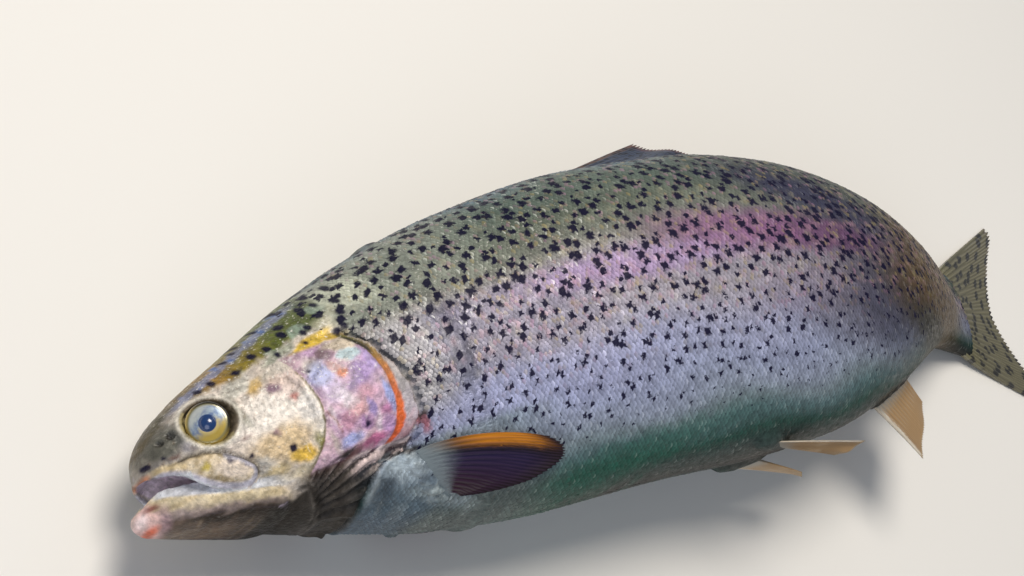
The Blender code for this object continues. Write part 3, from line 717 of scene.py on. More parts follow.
# on the gill cover the near-white strokes (#e8dce6, #ecdfea, #e6dade) are painted highlights
coverStrokes = (
    ("#523f3a", 51.2, 8.2, 2.2, 1.5, 16, 1.6, 0.85), ("#c9c4b6", 47.4, 6.6, 2.0, 2.2, 0, 1.2, 0.7),
    ("#a9b0d8", 49.3, 3.2, 3.4, 3.4, -30, 0.8, 0.9), ("#c3b3d2", 50.5, -1.8, 3.2, 3.0, -40, 0.9, 0.75),
    ("#cbbda6", 57.5, 9.4, 5.2, 1.7, -6, 0.7, 0.95), ("#b3c8cc", 57.8, 6.2, 3.3, 1.8, -4, 0.35, 0.95),
    ("#d8cfc8", 57.6, 4.4, 2.8, 0.25, -12, 0.6, 0.8), ("#cfa29a", 52.8, 4.2, 1.2, 2.4, 30, 0.6, 0.8),
    ("#d57c4a", 54.2, 1.9, 1.3, 1.1, 40, 0.8, 0.9), ("#9c82bd", 59.5, 1.0, 3.6, 3.0, -30, 0.9, 0.8),
    ("#a694cc", 62.8, 3.2, 1.6, 3.6, 20, 0.9, 0.7), ("#8d78ae", 56.0, -1.8, 2.6, 1.5, 50, 1.0, 0.7),
    ("#d4a0b2", 57.8, -4.6, 2.4, 2.1, 0, 1.0, 0.85), ("#e8dce6", 52.5, -5.0, 1.6, 3.6, 20, 1.0, 0.85),
    ("#cf9c9f", 54.4, -8.2, 2.4, 2.2, 0, 1.0, 0.8), ("#8579bb", 58.0, -8.8, 0.9, 2.2, 0, 1.0, 0.75),
    ("#8fa0d4", 63.6, -7.0, 1.1, 4.6, 6, 0.9, 0.85), ("#a95f92", 61.6, -10.2, 2.0, 1.0, 12, 1.1, 0.7),
    ("#ecdfea", 58.6, -12.8, 0.5, 2.2, -8, 1.4, 0.7), ("#b58fc0", 61.2, -14.0, 2.0, 2.4, 0, 1.0, 0.8),
    ("#9a72a6", 55.6, -11.6, 1.9, 1.8, 0, 1.1, 0.8), ("#c98fa4", 51.0, -10.0, 2.0, 2.0, 0, 1.0, 0.7),
    ("#9fa9dc", 50.6, -14.6, 3.0, 1.3, 12, 0.9, 0.9), ("#a54f7c", 56.2, -16.4, 4.0, 1.1, 10, 1.0, 0.85),
    ("#e6dade", 48.0, -7.4, 0.8, 3.4, 10, 1.4, 0.6), ("#cfc4b4", 46.4, -13.6, 0.8, 3.0, 14, 1.4, 0.6))
throatStrokes = (
    ("#b4c1c8", 63.5, -24.6, 5.4, 2.6, -24, 1.2, 0.9), ("#26303b", 58.6, -27.6, 3.0, 2.4, 30, 1.2, 0.7),
    ("#a7b3b4", 74.5, -34.0, 9.5, 1.2, -22, 1.6, 0.7), ("#b9c0c0", 55.6, -26.0, 0.7, 3.2, -22, 1.8, 0.4),
    ("#93424a", 71.0, -16.2, 1.2, 2.8, 6, 1.0, 0.8), ("#2b1a1c", 71.2, -14.2, 0.7, 1.0, 0, 1.0, 0.85),
    ("#1d1a1c", 64.0, -21.2, 6.0, 0.5, -6, 1.0, 0.95), ("#5b3a34", 50.0, -17.9, 3.0, 0.7, 12, 1.0, 0.7),
    ("#23201a", 48.8, -16.9, 3.6, 0.4, 10, 1.0, 0.8))
leafStrokes = (
    # the near-white stroke on the middle of the upper jaw bone (#e9d9c9, at 20.6) is a painted highlight
    ("#e9d9c9", 20.6, -11.2, 4.0, 2.2, -24, 0.8, 0.9), ("#d9c254", 14.6, -8.6, 1.1, 0.9, 0, 1.0, 0.9),
    ("#39365a", 20.4, -8.9, 1.2, 0.8, -30, 1.0, 0.85), ("#4a4462", 23.4, -11.0, 1.4, 0.6, -45, 1.0, 0.85),
    ("#7d6a3c", 17.5, -12.6, 4.0, 0.9, -28, 1.0, 0.7), ("#c8b48a", 8.5, -5.6, 3.2, 0.9, -20, 1.0, 0.7))
jawStrokes = (
    ("#ecdada", -0.3, -14.2, 1.4, 1.6, 0, 1.2, 0.8), ("#c65a34", 1.2, -17.2, 1.5, 0.9, 10, 1.5, 0.9),
    ("#6f2f2a", 2.4, -12.2, 1.6, 0.8, 0, 1.4, 0.85))
orangeTones = ((-19, "#cf5a2c"), (-13, "#d9601c"), (-6, "#cf6a34"), (0, "#c07a3c"), (4, "#96702a"),
               (10, "#6f6a30"))
stripWidth = (-19, -16, -13, -9, -2, 4, 10), (1.7, 2.9, 2.9, 2.2, 2.2, 2.5, 2.2)
spotRoom = (0.16, 0.26, 0.36, 0.48, 0.60, 0.75, 0.95), (0.0, 0.50, 0.72, 0.92, 1.0, 1.05, 1.05)
silverRound = (0.0, 0.25, 0.55, 0.70, 1.0), (0.35, 0.55, 0.5, 0.2, 0.1)
webTones = ((-18, "#b58a92"), (-12, "#b7aeb8"), (-4, "#a9a4a4"), (4, "#c3b6b0"), (12, "#b3a480"))
# painted shade in the hollows between the throat folds, and painted highlights along their ridges, paler
# higher up
hollowShadeTones = ((-26, "#0c0b0a"), (-20.5, "#120e0d"), (-18.6, "#3a2a28"))
foldHighlightTones = ((-31, "#37332c"), (-26, "#4f4a43"), (-23.0, "#8a817b"), (-20.8, "#dcc6c2"), (-18.8, "#ecd8d6"))
rimPath = (
    (4.2, -6.0), (6.3, -6.2), (8, -7.0), (10.4, -8.4), (12, -10.0), (14.4, -12.2), (17.6, -14.1),
    (21.6, -15.4), (24.3, -15.6), (25.8, -14.4), (26.0, -13.0), (25.0, -11.5), (22.9, -9.5), (20.0, -7.6))
# line of the painted shadow in the groove above the upper jaw bone
grooveShadowPath = (
    (10.6, -4.7), (12.5, -4.5), (16, -5.0), (18.5, -6.0), (21, -7.2), (23.6, -9.2), (26.0, -11.6),
    (26.9, -13.6))


def strokes(colour, s, v, rows, ragged=0.55):
    bentS = s + ragged * (wobble(s, v, 5.0, 81) + 0.6 * wobble(s, v, 2.2, 82))
    bentV = v + ragged * (wobble(s, v, 4.6, 83) + 0.6 * wobble(s, v, 2.0, 84))
    for code, s0, v0, long, tall, slant, soft, amount in rows:
        c, n = np.cos(np.radians(slant)), np.sin(np.radians(slant))
        along = ((bentS - s0) * c + (bentV - v0) * n) / long
        across = ((bentV - v0) * c - (bentS - s0) * n) / tall
        colour = washed(colour, code, amount * (1 - smoothStep((np.hypot(along, across) - 1) / soft + 0.5)))
    return colour


def toneAlong(x, tones):
    steps = np.array([h for h, code in tones])
    table = np.array([toLinear(code) for h, code in tones])
    return np.stack([np.interp(x, steps, table[:, k]) for k in range(3)], -1)


def flankColour(s, v, height):
    # the tones round the flank, darker to the rear, partly the trout's own darker colour and partly painted
    # shade, then the patches and the rose band over them
    colour = toneAlong(height + 0.025 * wobble(s, v, 34.0, 11), flankTones)
    # painted shade in part: the rear half darkened, starting further forward higher up the flank
    colour = colour * (1 - 0.56 * smoothStep((s - 192 + 80 * (height - 0.5)) / 60))[:, None]
    colour = washedBy(colour, (
        ("#8b9186", 0.75 * band(s, 40, 108, 30) * band(height, 0.66, 0.92, 0.07)),
        # painted highlight: the pale patch high on the nape
        ("#c6cab6", 0.75 * band(s, 58, 74, 9) * band(v, 18.5, 28.5, 6)),
        ("#5a5d70", 0.85 * band(s, 50, 96, 44) * band(height, 0.40, 0.62, 0.08)),
        ("#7d7888", 0.8 * band(s, 92, 134, 24) * band(height, 0.44, 0.61, 0.06))))
    colour = strokes(colour, s, v, flankStrokes, 1.6)
    return washedBy(colour, (
        ("#bb949c", 0.35 * smoothStep((wobble(s, v, 6.0, 33) - 0.3) / 0.4) * band(height, 0.42, 0.64, 0.08)),
        ("#b5ad8c", 0.3 * smoothStep((wobble(s, v, 5.0, 34) - 0.4) / 0.4) * band(height, 0.42, 0.8, 0.1)),
        ("#b9b6b4", 0.5 * band(s, 58, 80, 12) * band(v, -14, 12, 6))))


def cheekColour(s, v, ridge, top, n1, n2, n3):
    # the pale cheek, and the olive and gold crown over it
    cheek = strokes(washed("#cfc0af", "#e4dad2", 0.5 + 0.6 * n1), s, v, cheekStrokes)
    cheek = cheek * (0.97 + 0.12 * n2 + 0.16 * n3)[:, None]
    cheek = washed(cheek, "#7a5f3c", 0.35 * smoothStep((n3 + 0.5 * n2 - 0.55) / 0.3) * band(v, -17, 9, 3))
    crown = toneAlong(s + 2 * n1, crownTones) * (1 + 0.22 * n2 + 0.12 * n3)[:, None]
    blue, pale = wobble(s, v, 5.5, 26), wobble(s, v, 9.0, 27)
    # painted sheen: the lavender band and the blue flecks along the ridge stand in for the sky's reflection
    # on the wet crown
    crown = washedBy(crown * 0.78, (
        ("#7f88ad", 0.8 * band(ridge + 0.5 * n2, 1.5, 3.5, 1.1) * band(s, 15, 56, 8)),
        ("#2f5fa6", 0.85 * rise(blue, 0.25, 0.3) * band(ridge, 0.8, 3.6, 1.0) * band(s, 20, 66, 10)),
        ("#9cb0a4", 0.6 * rise(pale, 0.1, 0.3) * band(s, 34, 70, 8) * band(ridge, 4, 12, 3))))
    return strokes(washed(cheek, crown, top), s, v, goldStrokes)


def plateColour(s, v, n1, n2, n3):
    # the mother-of-pearl gill cover; its near-white mottling is painted highlight
    plate = strokes(washed("#b897b6", "#cbadb6", 0.5 + 0.7 * n1), s, v, coverStrokes)
    return washedBy(plate * (1 + 0.09 * n2 + 0.08 * n3)[:, None], (
        ("#f0e6ec", 0.5 * smoothStep((n3 + 0.6 * n1 - 0.75) / 0.3)),
        ("#8c5a4c", 0.7 * hump(fromPath(s, v, ((46.8, -6.0), (48.2, -9.0), (48.6, -12.2))), 0.3))))


def behindCover(colour, s, v, strip, stripEnd, n2, n3):
    # an orange strip behind the gill cover, olive at its top, then the pale membrane, and painted shade in
    # the gill opening under the cover's upper rear edge
    vc, ended = np.clip(v, -18.5, 13.5), smoothStep(stripEnd / 0.7 + 0.5)
    orange = toneAlong(v, orangeTones) * (1 + 0.12 * n3)[:, None]
    colour = washed(colour, orange, 0.97 * strip * (1 - ended))
    pale, past = strip * ended, s - coverEdge(vc) - 0.7
    # painted shade: a near-black crescent in the gill opening behind the cover's upper part
    gapShade = hump(past, np.interp(v, (4, 7, 10, 13), (0.3, 1.0, 0.9, 0.5))) * band(v, 4.6, 11.5, 2)
    return washedBy(colour, (
        (toneAlong(v + 2 * n2, webTones), 0.95 * pale * smoothStep(membraneEdge(vc) + 0.5 - s)),
        ("#7a5a4c", 0.8 * pale * hump(s - membraneEdge(vc) - 0.4, 0.4)),
        ("#0f0f16", 0.97 * gapShade)))


def lipColour(colour, s, v, u, n2, n3):
    # the upper jaw bone, its rim and painted shadow in the groove above it
    outer = np.where(np.abs(u) > skinAt(s, v) - 1.3, 1, 0)
    bone = band(v, maxillaLow(s) + 0.1, maxillaTop(s), 0.5) * band(s, 4.6, 26.9, 1.2) * outer
    leaf = strokes(washed("#b39e76", "#dccdb4", 0.5 + 0.7 * n2), s, v, leafStrokes)
    return washedBy(colour, (
        (leaf * (1 + 0.16 * n3)[:, None], bone),
        ("#b9b7c6", 0.95 * hump(fromPath(s, v, rimPath), 0.8, 4) * outer * rise(s, 4, 1.5)),
        ("#2b2417", 0.9 * hump(fromPath(s, v, grooveShadowPath), 0.62) * (np.abs(u) > 6))))


def jawColour(s, v, down, streaky, n2, n3):
    # lower jaw: beige sides, brown keel, fleshy pink tip with a red patch, pale inner lip
    side = washedBy(washed("#bba984", "#d8c9a8", 0.5 + 0.6 * streaky), (
        ("#8f7d7c", 0.85 * smoothStep((down - 0.28 + 0.12 * streaky) / 0.28)),
        ("#584637", 0.9 * smoothStep((down - 0.52 + 0.16 * streaky) / 0.22))))
    side = side * (1 - 0.56 * rise(s, 10, 18) * smoothStep((down - 0.3 + 0.12 * n2) / 0.35))[:, None]
    side = washedBy(side, (
        ("#a3906c", 0.15 * smoothStep((n3 + 0.6 * n2 - 0.45) / 0.3) * rise(s, 6, 6)),
        ("#261d16", 0.85 * band(down + 0.10 * streaky, 0.66, 0.86, 0.12) * rise(s, 5, 8)),
        ("#7a6650", 0.5 * rise(down, 0.93, 0.07) * fall(s, 16, 10))))
    side = side * (1 + (0.10 * n2 + 0.14 * n3) * rise(s, 4, 5))[:, None]
    side = washedBy(side, (
        ("#d8b4ae", 0.95 * (1 - smoothStep((s - 1.0 - 1.6 * (down > 0.3)) / 2.4))),
        ("#a98a92", 0.6 * band(s, 3.4, 5.6, 1.8) * band(v, -18.6, -12.6, 2.5))))
    side = strokes(side, s, v, jawStrokes, 0.3)
    return washed(side, "#cdd2dc", 0.9 * smoothStep((v - jawRim(s) + 0.35) / 0.8) * rise(s, 2.5, 2.5))


def markings(s, v, u):
    # colour, spots, silver and gloss at each point, from its place on the plan
    share = wayRound(s, v, u)
    height = 1 - share
    n1, n2, n3 = wobble(s, v, 7.0, 21), wobble(s, v, 3.0, 22), wobble(s, v, 1.7, 24)
    vc = np.clip(v, -18.5, 13.5)
    colour = flankColour(s, v, height)
    onHead = 1 - smoothStep((s - 57.5 - 0.45 * np.clip(v, -20, 0)) / 5.0)
    top = smoothStep((v - crownLine(s) + 0.9 * n1 + 0.5 * n2) / 2.0 + 0.5)
    ridge = backEdge(np.clip(s, 3.2, 360)) - v
    past, left = s - cheekEdge(np.clip(v, -18.5, 11.5)), coverEdge(vc) - s
    cover = smoothStep(past / 0.8) * smoothStep(left / 0.5 + 0.5) * band(v, -18.6, 11.2, 1.4)
    fold = 0.9 * hump(past - 0.1 + 0.3 * n2, 0.42) * band(v, -17.5, 6.5, 2) * onHead
    colour = washedBy(colour, ((cheekColour(s, v, ridge, top, n1, n2, n3), onHead),
                               (plateColour(s, v, n1, n2, n3), cover), ("#6f6636", fold)))
    strip = smoothStep(-left / 0.5 + 0.5) * band(v, -19.0, 12.5, 2.0) * (s < 74)
    stripEnd = -left - np.interp(v, *stripWidth) - 0.25 * n2
    colour = behindCover(colour, s, v, strip, stripEnd, n2, n3)
    colour = lipColour(colour, s, v, u, n2, n3)
    jaw = 1 - smoothStep((v - jawRim(s) - lipRise(s) - 0.9) / 0.8)
    jaw = jaw * (1 - smoothStep((s - 30 + 0.5 * (v + 22)) / 9)) * (s < 44)
    jaw = jaw * np.where((s > 11.5) & (v > maxillaLow(s) - 0.2) & (np.abs(u) > jawWidth(s) - 0.4), 0, 1)
    down = (jawRim(s) - v) / (jawRim(s) - jawKeel(s))
    streaky = wobble(s * 0.28, v * 1.1, 2.4, 91) + 0.5 * wobble(s * 0.5, v * 1.6, 1.9, 92)
    inside = smoothStep((skinAt(np.maximum(s, 3.3), np.maximum(v, palate(s))) - 1.5 - np.abs(u)) / 0.8)
    mouth = np.where((v < palate(s) + 3.2) & (v > jawKeel(s) + 2.0) & (s < 33) & (s > 3.0), 1.0, 0.0) * inside
    mouth = mouth * (1 - 0.95 * ((v < jawRim(s) + lipRise(s) + 0.4) & (np.abs(u) > jawWidth(s) - 3.4)))
    colour = washedBy(colour, ((jawColour(s, v, down, streaky, n2, n3), jaw), ("#d6c6da", 0.95 * mouth)))
    # throat folds with painted shade in their hollows, painted highlights on their ridges and painted shade
    # under the cheek and along a crease, and the breast behind them
    room, wave = throatFolds(s, v)
    room = smoothStep(room / 0.5)
    crest = smoothStep((np.sin(wave) + 0.35 * np.sin(2.3 * wave + s * 0.4) - 0.25) / 0.6)
    crest = crest * smoothStep(0.75 + 0.5 * wobble(s, v, 8.0, 73) - 0.03 * (57 - s))
    crest = crest * (0.3 + 0.7 * smoothStep((s - 43 + 0.6 * (v + 20)) / 9))
    high = smoothStep((np.sin(wave) + 0.75) / 0.5) * rise(v, -23.4, 2) * rise(s, 47, 6)
    crest = np.maximum(crest, 0.9 * high)
    # painted shade under the cheek and jaw, and along a crease down the throat
    under = smoothStep((-20.2 - v + 0.3 * (s - 36) + 0.9 * streaky) / 2.0) * band(s, 25, 52, 8)
    creaseShade = 0.95 * hump(fromPath(s, v, ((38.5, -20.5), (41.0, -25.0), (41.6, -31.0))), 1.4)
    low = smoothStep((-19 - v) / 3) * fall(s, 92, 26) * smoothStep((s - gillSlit(v)) / 2)
    breast = washedBy("#7d8c96", (
        ("#5b6a77", smoothStep((-25 - v + 3 * n1 + 2 * n2) / 5)),
        ("#b6c0c1", 0.5 * smoothStep((n1 + 0.5 * wobble(s, v, 4.0, 93, 9) - 0.2) / 0.6)),
        ("#626a64", 0.8 * smoothStep((-34 - v + n1) / 4)))) * (1 + 0.12 * n2 + 0.08 * n3)[:, None]
    colour = washedBy(colour, (
        (toneAlong(v, hollowShadeTones), 0.93 * room), (toneAlong(v + 0.8 * n2, foldHighlightTones), 0.95 * room * crest),
        ("#1b1712", np.maximum(0.95 * under * (1 - 0.85 * room), creaseShade)), (breast, 0.85 * low)))
    colour = strokes(colour, s, v, throatStrokes)
    ds, dv = s - head["socket"][0], v - head["socket"][1]
    orbit = np.hypot(ds, dv)
    ringTone = np.where((ds * 0.8 + dv * 0.6)[:, None] > 0, toLinear("#4a3a18"), toLinear("#9a8c58"))
    nose = np.min([np.hypot(s - s0, v - v0) - size for s0, v0, size in head["nostrils"]], axis=0) + 0.75
    colour = washedBy(colour, ((ringTone, 0.9 * fall(orbit, 6.3, 0.7) * (s < 30)),
                               # painted highlight: a pale thin ring along the socket's raised rim
                               ("#e6e0d2", 0.75 * hump(orbit - 7.0, 0.45) * (s < 30)),
                               # painted shade inside the nostril hollows
                               ("#1d1a16", 0.85 * fall(nose, 0.45, 0.5))))
    freckle = spotAt(s + 0.35 * wobble(s, v, 2.2, 61), v + 0.35 * wobble(s, v, 2.4, 62), headSpots, 0.7)
    freckle = freckle * (np.abs(u) > 1.0) * (1 - jaw) * (s < 68)
    # room for the trunk's own spots: all over the back, fewer down the flank, none below
    space = np.interp(height, *spotRoom)
    space = space * smoothStep((s - 55 + 0.5 * np.clip(v - 12, -3, 20) - 7 * (v < 12)) / 5)
    space = space * np.where(v < 13.5, smoothStep((s - membraneEdge(vc) - 1.2) / 2), 1.0)
    silver = np.interp(height, *silverRound)
    silver = silver + onHead * (np.clip(0.26 - 0.16 * top, 0, 1) - silver)
    # how much painted glint each place gets; on the skin it also sets how much dark grit
    sparkle = onHead * (0.5 + 0.5 * rise(v, -4, 6)) * rise(v, -23, 4) * rise(s, 7, 12)
    sparkle = sparkle * np.where(s < 30, rise(orbit, 6.6, 0.6), 1.0)
    for place, less, fewer in ((cover, 0.45, 0), (strip, 0.8, 0.6), (mouth, 0.85, 0.7), (room, 0.6, 0.7),
                               (jaw, 0.7, 0.6)):
        silver, sparkle = silver * (1 - less * place), sparkle * (1 - fewer * place)
    sparkle = np.maximum(sparkle, 0.55 * band(s, 40, 150, 40) * band(height, 0.55, 0.9, 0.1))
    lie = np.stack([s, np.sign(u) * share * np.interp(s, girthPlaces, halfGirth), height], -1)
    dull = np.max([room * (1 - crest), 0.7 * jaw * rise(down, 0.35, 0.3) * rise(s, 8, 8), creaseShade,
                   0.9 * under * (1 - 0.8 * room * crest),
                   0.8 * smoothStep((0.17 - height) / 0.06) * rise(s, 44, 10)], axis=0)
    return dict(ground=np.clip(colour, 0, 1), lie=lie, space=space, freckle=freckle,
                silver=np.clip(silver, 0, 1), sparkle=sparkle, dull=dull)


def setInputs(tree, node, inputs):
    # each input takes a wire, a colour written in hex, or a plain value
    for key, value in inputs.items():
        if isinstance(value, bpy.types.NodeSocket):
            tree.links.new(value, node.inputs[key])
        else:
            node.inputs[key].default_value = (*toLinear(value), 1.0) if isinstance(value, str) else value


def addNode(tree, kind, settings, inputs, out=0):
    # one shader node with its own settings; inputs are given in their order or by name
    node = tree.nodes.new("ShaderNode" + kind)
    for key, value in settings.items():
        setattr(node, key, value)
    setInputs(tree, node, inputs if isinstance(inputs, dict) else dict(enumerate(inputs)))
    return node.outputs[out]


def carried(name):
    # settings of a node that reads what a piece carries at its points
    return dict(attribute_type="GEOMETRY", attribute_name=name)


def newMaterial(name):
    material = bpy.data.materials.new(name)
    material.use_nodes = True
    return material, material.node_tree, material.node_tree.nodes["Principled BSDF"]


smooth, blend = dict(interpolation_type="SMOOTHSTEP"), dict(data_type="RGBA")
darken = dict(blend, blend_type="MULTIPLY")
times, plus, over, largest, scaled = [
    dict(operation=word) for word in ("MULTIPLY", "ADD", "DIVIDE", "MAXIMUM", "MULTIPLY_ADD")]


def hideMaterial(name, look):
    # Wet fish hide.  A silvery underlayer shows through a clear slimy film, so highlights are small and
    # bright; dark spots lie in it.  Sizes are on the body plan, in millimetres.
    material, tree, shader = newMaterial(name)
    marks = dict(lie="Vector", plan="Vector", ground="Color", sparkle="Fac", space="Fac", freckle="Fac",
                 silver="Fac", dull="Fac", glint="Fac", edge="Fac")
    for key, out in marks.items():
        marks[key] = addNode(tree, "Attribute", carried(key), (), out)
    lie, amount, glint, edge = [marks[key] for key in ("lie", "sparkle", "glint", "edge")]
    plan = lie if look["glint"] else marks["plan"]
    high = addNode(tree, "SeparateXYZ", {}, (lie,), "Z")
    fine, speckle, hue, grain, ragged, patchy, pores = [
        addNode(tree, "TexNoise", {}, dict(Vector=place, Scale=scale, Detail=detail), out)
        for place, scale, detail, out in (
            (plan, 0.22, 3.0, "Fac"), (plan, 1.15, 3.0, "Fac"), (lie, 0.30, 1.0, "Fac"),
            (plan, 0.55, 4.0, "Fac"), (lie, 0.75, 3.0, "Color"), (plan, 0.5, 2.0, "Fac"),
            (plan, look["grain"], 3.0, "Fac"))]
    soft = dict(
        mottle=(fine, 0.3, 0.7, 0.86, 1.14), shine=(glint, 0.0, 1.0, 0.80, 1.14), hue=(hue, 0.38, 0.62),
        dim=(glint, 0.22, 0.06), upper=(high, 0.30, 0.45, 0.0, 0.28), rim=(edge, 0.40, 0.98, 0.74, 1.20),
        bright=(glint, 0.90, 0.99), tip=(edge, 0.62, 0.9), lively=(amount, 0.0, 0.5, 0.25, 1.0),
        grain=(grain, 0.32, 0.68, 0.70, 1.14), grit=(speckle, 0.44, 0.34), fleck=(speckle, 0.60, 0.70),
        points=(high, 0.42, 0.68, 0.66, 1.05), spread=(high, 0.42, 0.68, 0.54, 0.42),
        rough=(patchy, 0.3, 0.7, *look["rough"]))
    for key, numbers in soft.items():
        soft[key] = addNode(tree, "MapRange", smooth, numbers)
    tone = addNode(tree, "Mix", darken, {0: 1.0, 6: marks["ground"], 7: soft["mottle"]}, 2)
    if look["glint"]:
        tone = addNode(tree, "Mix", darken, {0: 1.0, 6: tone, 7: soft["shine"]}, 2)
        tinge = addNode(tree, "Mix", blend, {0: soft["hue"], 6: "#b9a765", 7: "#c08fb0"}, 2)
        few = addNode(tree, "Math", times, (soft["dim"], soft["upper"]))
        tone = addNode(tree, "Mix", blend, {0: few, 6: tone, 7: tinge}, 2)
        # painted shade: each scale darker towards its root, where the scale ahead overlaps it, and lighter at
        # its free tip
        tone = addNode(tree, "Mix", darken, {0: 1.0, 6: tone, 7: soft["rim"]}, 2)
        # painted glints: a near-white wash on the tips of a few scales
        fleck, fleckTone, share = soft["bright"], "#dfe2da", (soft["tip"], soft["lively"], 0.55)
    else:
        tone = addNode(tree, "Mix", darken, {0: 1.0, 6: tone, 7: soft["grain"]}, 2)
        fleck, fleckTone, share = soft["grit"], "#4f4030", (0.38, amount)
    # white flecks laid over skin and scales alike are painted glints
    for fleck, fleckTone, share in ((fleck, fleckTone, share), (soft["fleck"], "#f3efe6", (0.6, amount))):
        for part in share:
            fleck = addNode(tree, "Math", times, (fleck, part))
        tone = addNode(tree, "Mix", blend, {0: fleck, 6: tone, 7: fleckTone}, 2)
    # x-shaped spots about 2 across and 5 apart, one to each cell, ragged at their edges
    shift = addNode(tree, "VectorMath", dict(operation="SCALE"), {0: ragged, "Scale": 3.0})
    moved = addNode(tree, "VectorMath", plus, (lie, shift))
    turned = addNode(tree, "Mapping", {}, dict(Vector=moved, Rotation=(0.0, 0.0, 0.85)))
    reach = addNode(tree, "TexVoronoi", dict(voronoi_dimensions="2D", distance="MINKOWSKI"),
                    dict(Vector=turned, Scale=0.245, Randomness=0.92, Exponent=soft["points"]), "Distance")
    chance = addNode(tree, "SeparateColor", {}, (reach.node.outputs["Color"],))
    size = addNode(tree, "Math", scaled, (chance, 0.8, 0.46))
    size = addNode(tree, "Math", scaled, (size, marks["space"], 0.002))
    for divisor in (size, soft["spread"]):
        reach = addNode(tree, "Math", over, (reach, divisor))
    spot = addNode(tree, "MapRange", smooth, (reach, 0.62, 1.22, 1.0, 0.0))
    spot = addNode(tree, "Math", largest, (spot, marks["freckle"]))
    dark = addNode(tree, "Math", times, (spot, 0.97))
    tone = addNode(tree, "Mix", blend, {0: dark, 6: tone, 7: "#0b0829"}, 2)
    spot = addNode(tree, "Math", largest, (spot, marks["dull"]))
    shaded, coat, gloss = [addNode(tree, "MapRange", smooth, (spot, 0.0, 1.0, *ends))
                           for ends in ((1.0, 0.25), (look["wet"], look["wet"] * 0.3), (0.5, 0.12))]
    silver = addNode(tree, "Math", times, (marks["silver"], look["silver"]))
    silver = addNode(tree, "Math", times, (silver, shaded))
    bump = addNode(tree, "Bump", {}, dict(Height=pores, Strength=look["bump"], Distance=0.0006))
    setInputs(tree, shader, {"Base Color": tone, "Metallic": silver, "Roughness": soft["rough"],
                             "Normal": bump, "Coat Weight": coat, "Coat Roughness": look["film"],
                             "Specular IOR Level": gloss, "IOR": 1.42})
    return material


skinLook = dict(glint=False, silver=0.5, rough=(0.40, 0.62), grain=1.0, bump=1.0, wet=0.22, film=0.2)
scaleLook = dict(glint=True, silver=0.5, rough=(0.38, 0.56), grain=1.6, bump=0.12, wet=0.13, film=0.15)
wetSkin = hideMaterial("wet_trout_skin", skinLook)
scaleHide = hideMaterial("trout_scales", scaleLook)

skinMarks = dict(markings(*skinPoints.T), plan=skinPoints)
pieceFrom("trout_skin", bend(skinPoints), [skinQuads], wetSkin, skinMarks,
          ("head", "lower_jaw", "throat", "upper_jaw_bone_left", "upper_jaw_bone_right",
           "gill_cover_left", "gill_cover_right", "trunk_front", "trunk_mid", "trunk_rear", "tail_stalk"))

# scales: small overlapping leaves in staggered rows, their rear edges raised
scales = dict(pitch=1.50, rowGap=0.82, length=0.90, width=0.74, lift=0.11, sink=0.27, thick=0.15,
              outline=8, seed=7, draws=40000, first=44.0, last=362.0, rowsEachWay=56,
              growth=((44, 60, 80, 200, 300, 362), (0.7, 0.8, 0.95, 1.0, 0.86, 0.70)),
              barePatch=(61.5, -22.5, 1.7, 2.6))          # over the breast fin's root: place, stretch, radius


def scaleCoat():
    # places along the body where the pitch adds up to whole scales, and rows round from the side line
    place = np.arange(scales["first"], scales["last"], 0.05)
    pitch = scales["pitch"] * np.interp(place, *scales["growth"])
    index = np.cumsum(0.05 / pitch)
    column = np.arange(int(index[-1]) - 1)
    row = np.arange(-scales["rowsEachWay"], scales["rowsEachWay"] + 1)
    i, j = np.meshgrid(column, row)
    s = np.interp(i + 0.5 * (j % 2) + 1, index, place)
    rng = np.random.default_rng(scales["seed"])
    size = np.interp(s, place, pitch)
    arc = np.interp(s, girthPlaces, halfGirth)
    middle = lookUp(shareTable, s.ravel(), np.full(s.size, 0.5)).reshape(s.shape) * arc
    middle = middle - 6.0 * fall(s, 65, 90)
    away = middle - j * size * scales["rowGap"]
    s, away, size, arc, j = [a.ravel() for a in (s, away, size, arc, j)]
    keep = (away > 0.25 * size) & (away < arc - 0.25 * size)
    s, away, size, arc, j = s[keep], away[keep], size[keep], arc[keep], j[keep]
    angle = lookUp(angleTable, s, away / arc)
    v = onOval(s, angle)[:, 1]
    vc = np.clip(v, -18.5, 13.5)
    behind = np.where(v > 13.5, s - (60.0 - 0.3 * (v - 13.5)), s - membraneEdge(vc) - 1.6)
    behind = np.where(v < -18.5, s - np.maximum(gillSlit(v), 48) - 3.0, behind)
    bareS, bareV, stretch, radius = scales["barePatch"]
    bare = np.hypot((s - bareS) / stretch, v - bareV) < radius
    keep = (behind > 0) & ~bare
    size = size * (0.72 + 0.28 * smoothStep(behind / 14))
    s, size, angle, j = s[keep], size[keep], angle[keep], j[keep]
    s = s + rng.uniform(-0.06, 0.06, len(s)) * size
    return s, angle, size, j, rng


